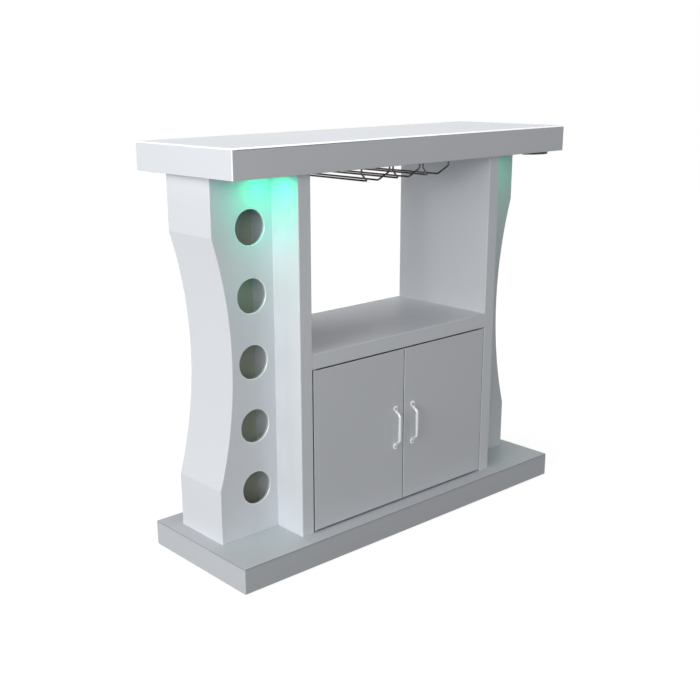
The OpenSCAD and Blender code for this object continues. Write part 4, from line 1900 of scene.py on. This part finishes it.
@dataclass
class GlassRack:
    """Hanging rack: three channels of bent wire under two flat bars.

    Args:
        bench: where its pieces are finished.
        wire_r: radius of the wire.
        slot_half: half the distance between a channel's rails.
        flare_h: height of the flare at a channel's mouth.
        flare_out: length of the flare.
        bend_r: radius of the wire's bends.
        bar_edge: rounding of the bars' edges.
        path_points: points along a wire.
        section_points: points round a wire.
    """

    bench: Bench
    wire_r: float = 0.0025
    slot_half: float = 0.020
    flare_h: float = 0.021
    flare_out: float = 0.011
    bend_r: float = 0.007
    bar_edge: float = 0.0006
    path_points: int = 240
    section_points: int = 16

    def build(self) -> None:
        """Builds the channels, the bars and the screws."""
        for word in THIRDS:
            self.channel(f"rack_wires_{word}")
        self.bars()
        self.screws()

    def channel(self, node: str) -> None:
        """The two wires of a channel: down, inwards along the flare, back, and up again.

        Args:
            node: the CAD node that they stand for.
        """
        box = Box.of(node)
        x, top = box.middle[0], box.high[2]
        mouth = box.size[0] / 2 - self.wire_r
        rail_z = box.low[2] + self.wire_r
        front, back = box.low[1] + self.wire_r, box.high[1] - self.wire_r
        even, power = np.full(self.path_points, self.wire_r), np.full(self.path_points, 2.0)
        shells = []
        for side in Side:
            mouth_x, rail_x = x + side.value * mouth, x + side.value * self.slot_half
            corners = np.array(
                [
                    [mouth_x, front, top],
                    [mouth_x, front, rail_z + self.flare_h],
                    [rail_x, front + self.flare_out, rail_z],
                    [rail_x, back, rail_z],
                    [rail_x, back, top],
                ]
            )
            path = resampled(bent_path(corners, self.bend_r), self.path_points)
            shells.append(swept(path, ALONG_X, even, even, power, self.section_points))
        self.bench.lay(f"{node}_bent", together(shells), Slot.RACK_CHROME, [node])

    def bars(self) -> None:
        """Two flat bars with rounded corners, at the front and the back ends of the wires."""
        box, wires = Box.of("rack_bars"), Box.of("rack_wires_left")
        width = 2 * (wires.low[1] + self.wire_r - box.low[1])
        shells = []
        for y in (box.low[1], box.high[1] - width):
            low = np.array([box.low[0], y, box.low[2]])
            high = np.array([box.high[0], y + width, box.high[2]])
            shells.append(rounded_block(low, high, self.bar_edge))
        self.bench.lay("rack_bars_rolled", together(shells), Slot.RACK_CHROME, ["rack_bars"])

    def screws(self) -> None:
        """Six domed screws, one at the middle of each channel on both bars."""
        box = Box.of("rack_screws")
        bar_z = Box.of("rack_bars").low[2]
        wires = Box.of("rack_wires_left", "rack_wires_right")
        head_r = (box.size[1] - (wires.size[1] - 2 * self.wire_r)) / 2
        form = ScrewForm(head_r, bar_z - box.low[2], box.size[2])
        xs = [Box.of(f"rack_wires_{word}").middle[0] for word in THIRDS]
        ys = (box.low[1] + head_r, box.high[1] - head_r)
        shells = [placed(form.shell(), (x, y, bar_z), DOWN) for x in xs for y in ys]
        self.bench.lay("rack_screws_driven", together(shells), Slot.STEEL_HARDWARE, ["rack_screws"])


@dataclass(frozen=True)
class LampLight:
    """Round light that a lamp casts downwards.

    Args:
        word: end of its name.
        tone: its colour.
        watts: its power.
        spread_deg: its spread.
    """

    word: str
    tone: Colour
    watts: float
    spread_deg: float

    def build(self, side: Side, place: Point, size: float) -> None:
        """Puts the light in its place.

        Args:
            side: the end of the counter that it is at.
            place: where it stands.
            size: its diameter.
        """
        name = f"{side.word}_lamp_{self.word}"
        data = bpy.data.lights.new(name, "AREA")
        data.shape = "DISK"
        data.size = size
        data.energy = self.watts
        data.color = self.tone
        data.spread = np.radians(self.spread_deg)
        linked(name, data).location = place


@dataclass
class LightUnit:
    """Round lamps under the countertop, their light, and the case of their controller.

    Args:
        bench: where its pieces are finished.
        turns: points round a lamp.
        rim_ease: rounding of a housing's rim.
        rim_share: how far along that rounding, both ways, its middle ring lies.
        seat: gap round a lens.
        ledge: width of the ledge that a lens rests on.
        hollow: depth of the hollow behind a lens.
        lens_rings: rings of points over a lens's face.
        lens_dish: depth of a lens's hollow face, and of its rim behind the housing's.
        light_drop: how far below the housings the light starts.
        lights: the lights that each lamp casts.
        sleeve_r: radius of the power inlet's sleeve.
        sleeve_t: thickness of the sleeve.
        sleeve_len: length of the sleeve.
        sleeve_inset: how far the sleeve starts behind the case's back.
        pin_r: radius of the inlet's pin.
        pin_from: distance of the pin's tip from the sleeve's mouth.
        pin_bevel: length of the bevel at the tip.
        pin_tip_share: radius of the tip as a share of the pin's.
    """

    bench: Bench
    turns: int = 72
    rim_ease: float = 0.0012
    rim_share: float = 0.3
    seat: float = 0.00005
    ledge: float = 0.002
    hollow: float = 0.003
    lens_rings: int = 12
    lens_dish: float = 0.0008
    light_drop: float = 0.001
    lights: tuple[LampLight, ...] = (
        LampLight("wide", (0.02, 1.0, 0.35), 0.095, 180.0),
        LampLight("core", (0.10, 1.0, 0.85), 0.035, 75.0),
    )
    sleeve_r: float = 0.0027
    sleeve_t: float = 0.0003
    sleeve_len: float = 0.0085
    sleeve_inset: float = 0.0002
    pin_r: float = 0.00075
    pin_from: float = 0.0012
    pin_bevel: float = 0.0006
    pin_tip_share: float = 0.6

    def __post_init__(self) -> None:
        """Takes the lamps' place and size from their nodes."""
        self.housing_box, self.lens_box = Box.of("lamp_housings"), Box.of("lamp_lenses")
        self.r, self.lens_r = self.housing_box.size[1] / 2, self.lens_box.size[1] / 2
        self.x, self.y = self.housing_box.high[0] - self.r, self.housing_box.middle[1]

    def build(self) -> None:
        """Builds the lamps, lights them and dresses the case."""
        self.housings()
        self.lenses()
        light_z = self.housing_box.low[2] - self.light_drop
        for side, place in zip(Side, both_sides(self.x, self.y, light_z)):
            for light in self.lights:
                light.build(side, place, 2 * self.lens_r)
        self.bench.dress("controller_case", Slot.CASE_PLASTIC)
        self.inlet()

    def housings(self) -> None:
        """Turned housings: a stepped rim round the lens and a hollow behind it."""
        h, lens_t, ease = self.housing_box.size[2], self.lens_box.size[2], self.rim_ease
        part = self.rim_share * ease
        profile = np.array(
            [
                [0.0, h],
                [self.r, h],
                [self.r, ease],
                [self.r - part, part],
                [self.r - ease, 0.0],
                [self.lens_r + 2 * ease, 0.0],
                [self.lens_r + ease, ease / 2],
                [self.lens_r + self.seat, ease / 2],
                [self.lens_r + self.seat, lens_t],
                [self.lens_r - self.ledge, lens_t],
                [self.lens_r - self.ledge, lens_t + self.hollow],
                [0.0, lens_t + self.hollow],
            ]
        )
        self.pair("lamp_housings_turned", profile, self.housing_box, Slot.WHITE_PLASTIC, "lamp_housings")

    def lenses(self) -> None:
        """Frosted lenses with a shallow hollow face: its height is a share of 1 less (d / R) squared."""
        share, h = np.linspace(0.0, 1.0, self.lens_rings), self.lens_box.size[2]
        height = self.lens_dish + self.lens_dish * (1 - share**2)
        face = np.stack([self.lens_r * share, height], axis=-1)
        profile = np.concatenate([face, [[self.lens_r, h], [0.0, h]]])
        self.pair("lamp_lenses_frosted", profile, self.lens_box, Slot.LAMP_LENS, "lamp_lenses")

    def pair(self, name: str, profile: Array, box: Box, slot: Slot, node: str) -> None:
        """Turns a profile into a piece with one solid at each lamp.

        Args:
            name: the piece's name.
            profile: points x 2, each a radius and a height.
            box: the box of the node that it stands for.
            slot: the finish.
            node: the CAD node that it stands for.
        """
        places = both_sides(self.x, self.y, box.low[2])
        shells = [placed(turned(profile, self.turns), place) for place in places]
        self.bench.lay(name, together(shells), slot, [node])

    def inlet(self) -> None:
        """Metal sleeve and pin in the power inlet, at the middle of the case's back."""
        box = Box.of("controller_case")
        outer, inner, depth = self.sleeve_r, self.sleeve_r - self.sleeve_t, self.sleeve_len
        sleeve = np.array([[outer, 0.0], [outer, depth], [inner, depth], [inner, 0.0]])
        tip, bevel = self.pin_from, self.pin_from + self.pin_bevel
        r, tip_r = self.pin_r, self.pin_tip_share * self.pin_r
        pin = np.array([[0.0, depth], [r, depth], [r, bevel], [tip_r, tip], [0.0, tip]])
        mouth = (box.middle[0], box.high[1] - self.sleeve_inset, box.middle[2])
        forms = (turned(sleeve, PIN_TURNS, hollow=True), turned(pin, PIN_TURNS))
        shells = [placed(form, mouth, TO_FRONT) for form in forms]
        self.bench.lay("power_inlet_sleeve", together(shells), Slot.STEEL_HARDWARE, [])


@dataclass
class InnerParts:
    """Pieces inside the boards, which keep their CAD shape."""

    bench: Bench

    def build(self) -> None:
        """Dresses each piece."""
        for node in ("shelf_dowels", "column_cleats", "top_battens"):
            self.bench.dress(node, Slot.RAW_BOARD)
        self.bench.dress("carcass_screws", Slot.STEEL_HARDWARE)


@dataclass(frozen=True)
class SoftLight:
    """Square soft light.

    Args:
        name: the light's name.
        place: where it stands.
        aim: the point that it is turned to.
        size: length of its sides.
        watts: its power.
    """

    name: str
    place: Point
    aim: Point
    size: float
    watts: float

    def build(self) -> None:
        """Puts the light in its place."""
        data = bpy.data.lights.new(self.name, "AREA")
        data.size = self.size
        data.energy = self.watts
        way = Vector(self.aim) - Vector(self.place)
        turn = way.to_track_quat("-Z", "Y").to_matrix().to_4x4()
        linked(self.name, data).matrix_world = Matrix.Translation(self.place) @ turn


@dataclass
class Studio:
    """White room: pale floor, soft light from above, from the left and from the front, and the camera.

    Args:
        floor_half: half the floor's length.
        floor_tone: the floor's grey.
        floor_rough: the floor's roughness.
        floor_glow: how white the floor shows beside the counter; far away it is quite white.
        glow_reach: distances over which it turns quite white.
        focal_px: the camera's focal length in pixels of the photograph.
        frame_px: the photograph's width in pixels.
        centre_px: the photograph's optical centre.
        place: the camera's place.
        pan: the camera's turn about the upright axis.
        tilt: how far it looks down.
        roll: how far it leans.
        clip_end: how far it sees.
        lights: the soft lights.
    """

    floor_half: float = 12.0
    floor_tone: float = 0.22
    floor_rough: float = 0.9
    floor_glow: float = 0.90
    glow_reach: Span = (0.7, 1.8)
    focal_px: float = 1041.58
    frame_px: float = 700.0
    centre_px: tuple[float, float] = (309.57, 375.13)
    place: Point = (-2.0063, -2.0969, 1.2683)
    pan: float = -0.70667
    tilt: float = 0.28632
    roll: float = -0.01192
    clip_end: float = 100.0
    lights: tuple[SoftLight, ...] = (
        SoftLight("ceiling_light", (0.2, 0.2, 3.6), (0.0, 0.0, 1.1), 2.6, 54.0),
        SoftLight("camera_side_light", (-3.9, -4.9, 2.6), (0.0, 0.0, 0.6), 2.4, 42.0),
        SoftLight("front_light", (0.5, -6.5, 2.0), (0.0, 0.0, 0.6), 2.4, 24.0),
        SoftLight("right_front_light", (3.8, -4.6, 1.8), (0.0, 0.0, 0.6), 2.4, 29.0),
        SoftLight("left_light", (-3.8, -0.5, 1.9), (0.0, 0.0, 0.7), 2.4, 71.0),
        SoftLight("left_front_light", (-5.6, -3.0, 2.0), (0.0, 0.0, 0.6), 2.4, 78.0),
        SoftLight("left_back_light", (-4.5, 2.2, 1.8), (0.0, 0.0, 0.7), 1.8, 36.0),
    )

    def build(self) -> None:
        """Builds the room, the lights and the camera, and sets the view."""
        self.floor()
        self.world()
        for light in self.lights:
            light.build()
        self.camera()
        bpy.context.scene.view_settings.view_transform = "Standard"

    @staticmethod
    def seen(recipe: Recipe) -> Term:
        """Tells rays that show the room from rays that light the counter.

        Args:
            recipe: the tree that needs it.

        Returns:
            One for rays from the camera, from gloss and through glass, and zero for others.
        """
        path = recipe.node("ShaderNodeLightPath")
        first = Term(recipe, path.outputs["Is Camera Ray"])
        gloss = Term(recipe, path.outputs["Is Glossy Ray"])
        glass = Term(recipe, path.outputs["Is Transmission Ray"])
        return first.math("MAXIMUM", gloss).math("MAXIMUM", glass)

    def floor(self) -> None:
        """Pale floor that keeps the shadow and shows near white in the picture."""
        corners = self.floor_half * np.array([[-1, -1, 0], [1, -1, 0], [1, 1, 0], [-1, 1, 0]])
        mesh = bpy.data.meshes.new("studio_floor")
        mesh.from_pydata(corners.tolist(), [], [[0, 1, 2, 3]])
        recipe = Recipe.named("studio_floor")
        tone = (self.floor_tone, self.floor_tone, self.floor_tone, 1.0)
        sockets = {"Base Color": tone, "Roughness": self.floor_rough, "Specular IOR Level": 0.0}
        shader = recipe.node("ShaderNodeBsdfPrincipled", None, sockets)
        x, y, _ = recipe.axes()
        far = distance(x, y).over(*self.glow_reach)
        strength = self.seen(recipe) * far.between(self.floor_glow, 1.0)
        glow = recipe.node("ShaderNodeEmission", None, {"Strength": strength})
        sockets = {0: Term(recipe, shader.outputs[0]), 1: Term(recipe, glow.outputs[0])}
        both = recipe.node("ShaderNodeAddShader", None, sockets)
        recipe.node("ShaderNodeOutputMaterial", None, {"Surface": Term(recipe, both.outputs[0])})
        mesh.materials.append(recipe.owner)
        linked("studio_floor", mesh)

    def world(self) -> None:
        """White all round where it is seen, and no light of its own."""
        world = bpy.data.worlds.new("studio")
        bpy.context.scene.world = world
        recipe = Recipe(world)
        sockets = {"Color": (1.0, 1.0, 1.0, 1.0), "Strength": self.seen(recipe)}
        sky = recipe.node("ShaderNodeBackground", None, sockets)
        recipe.node("ShaderNodeOutputWorld", None, {"Surface": Term(recipe, sky.outputs[0])})

    def camera(self) -> None:
        """Camera of the photograph: turned by pan, lowered by tilt and leaned by roll."""
        level = Vector((np.cos(self.pan), np.sin(self.pan), 0.0))
        ahead = np.cos(self.tilt)
        forward = Vector((-np.sin(self.pan) * ahead, np.cos(self.pan) * ahead, -np.sin(self.tilt)))
        upright = level.cross(forward)
        right = level * np.cos(self.roll) + upright * np.sin(self.roll)
        up = upright * np.cos(self.roll) - level * np.sin(self.roll)
        data = bpy.data.cameras.new("photograph_camera")
        data.lens = data.sensor_width * self.focal_px / self.frame_px
        data.shift_x = 0.5 - self.centre_px[0] / self.frame_px
        data.shift_y = self.centre_px[1] / self.frame_px - 0.5
        data.clip_end = self.clip_end
        camera = linked("photograph_camera", data)
        turn = Matrix((right, up, -forward)).transposed().to_4x4()
        camera.matrix_world = Matrix.Translation(self.place) @ turn
        bpy.context.scene.camera = camera


def finishes() -> dict[Slot, bpy.types.Material]:
    """Builds every finish.

    Returns:
        The material of each slot.
    """
    lenses = Box.of("lamp_lenses")
    lens_r = lenses.size[1] / 2
    made = {
        Slot.WHITE_LACQUER: Lacquer(),
        Slot.RAW_BOARD: PressedBoard(),
        Slot.HANDLE_METAL: Metal((0.93, 0.94, 0.96), (0.86, 0.87, 0.90), (0.29, 0.37), 0.30),
        # The rack's chrome is near black: a painted dark reflection of the shaded underside of the
        # countertop.
        Slot.RACK_CHROME: Metal((0.085, 0.078, 0.074), (0.060, 0.056, 0.054), (0.12, 0.22)),
        Slot.STEEL_HARDWARE: Metal((0.46, 0.46, 0.47), (0.36, 0.36, 0.37), (0.28, 0.42)),
        Slot.WHITE_PLASTIC: MouldedPlastic((0.78, 0.78, 0.77), (0.72, 0.72, 0.70), 0.34),
        Slot.BUSH_PLASTIC: MouldedPlastic((0.70, 0.69, 0.64), (0.62, 0.61, 0.57), 0.42),
        Slot.GLIDE_PLASTIC: MouldedPlastic((0.035, 0.035, 0.038), (0.06, 0.06, 0.062), 0.55),
        Slot.CASE_PLASTIC: MouldedPlastic((0.022, 0.022, 0.025), (0.035, 0.035, 0.038), 0.38),
        Slot.LAMP_LENS: GlowingLens((float(lenses.high[0] - lens_r), float(lenses.middle[1])), lens_r),
    }
    return {slot: finish.material(slot.value) for slot, finish in made.items()}


def main() -> None:
    """Builds every sub-assembly in order, then the studio."""
    logging.basicConfig(level=logging.INFO, format="%(message)s")
    # Inner lacquer: darker and greener, painted shade inside the columns.
    inside = Lacquer(tone=(0.610, 0.650, 0.530), cloud_tone=(0.590, 0.630, 0.515))
    bench = Bench(finishes(), inside.material("inner_lacquer_painted_shade"))
    Base(bench).build()
    Cabinet(bench).build()
    for side in Side:
        Door(bench, side).build()
        Column(bench, side).build()
    DoorHardware(bench).build()
    Countertop(bench).build()
    GlassRack(bench).build()
    LightUnit(bench).build()
    InnerParts(bench).build()
    Studio().build()


if __name__ == "__main__":
    main()
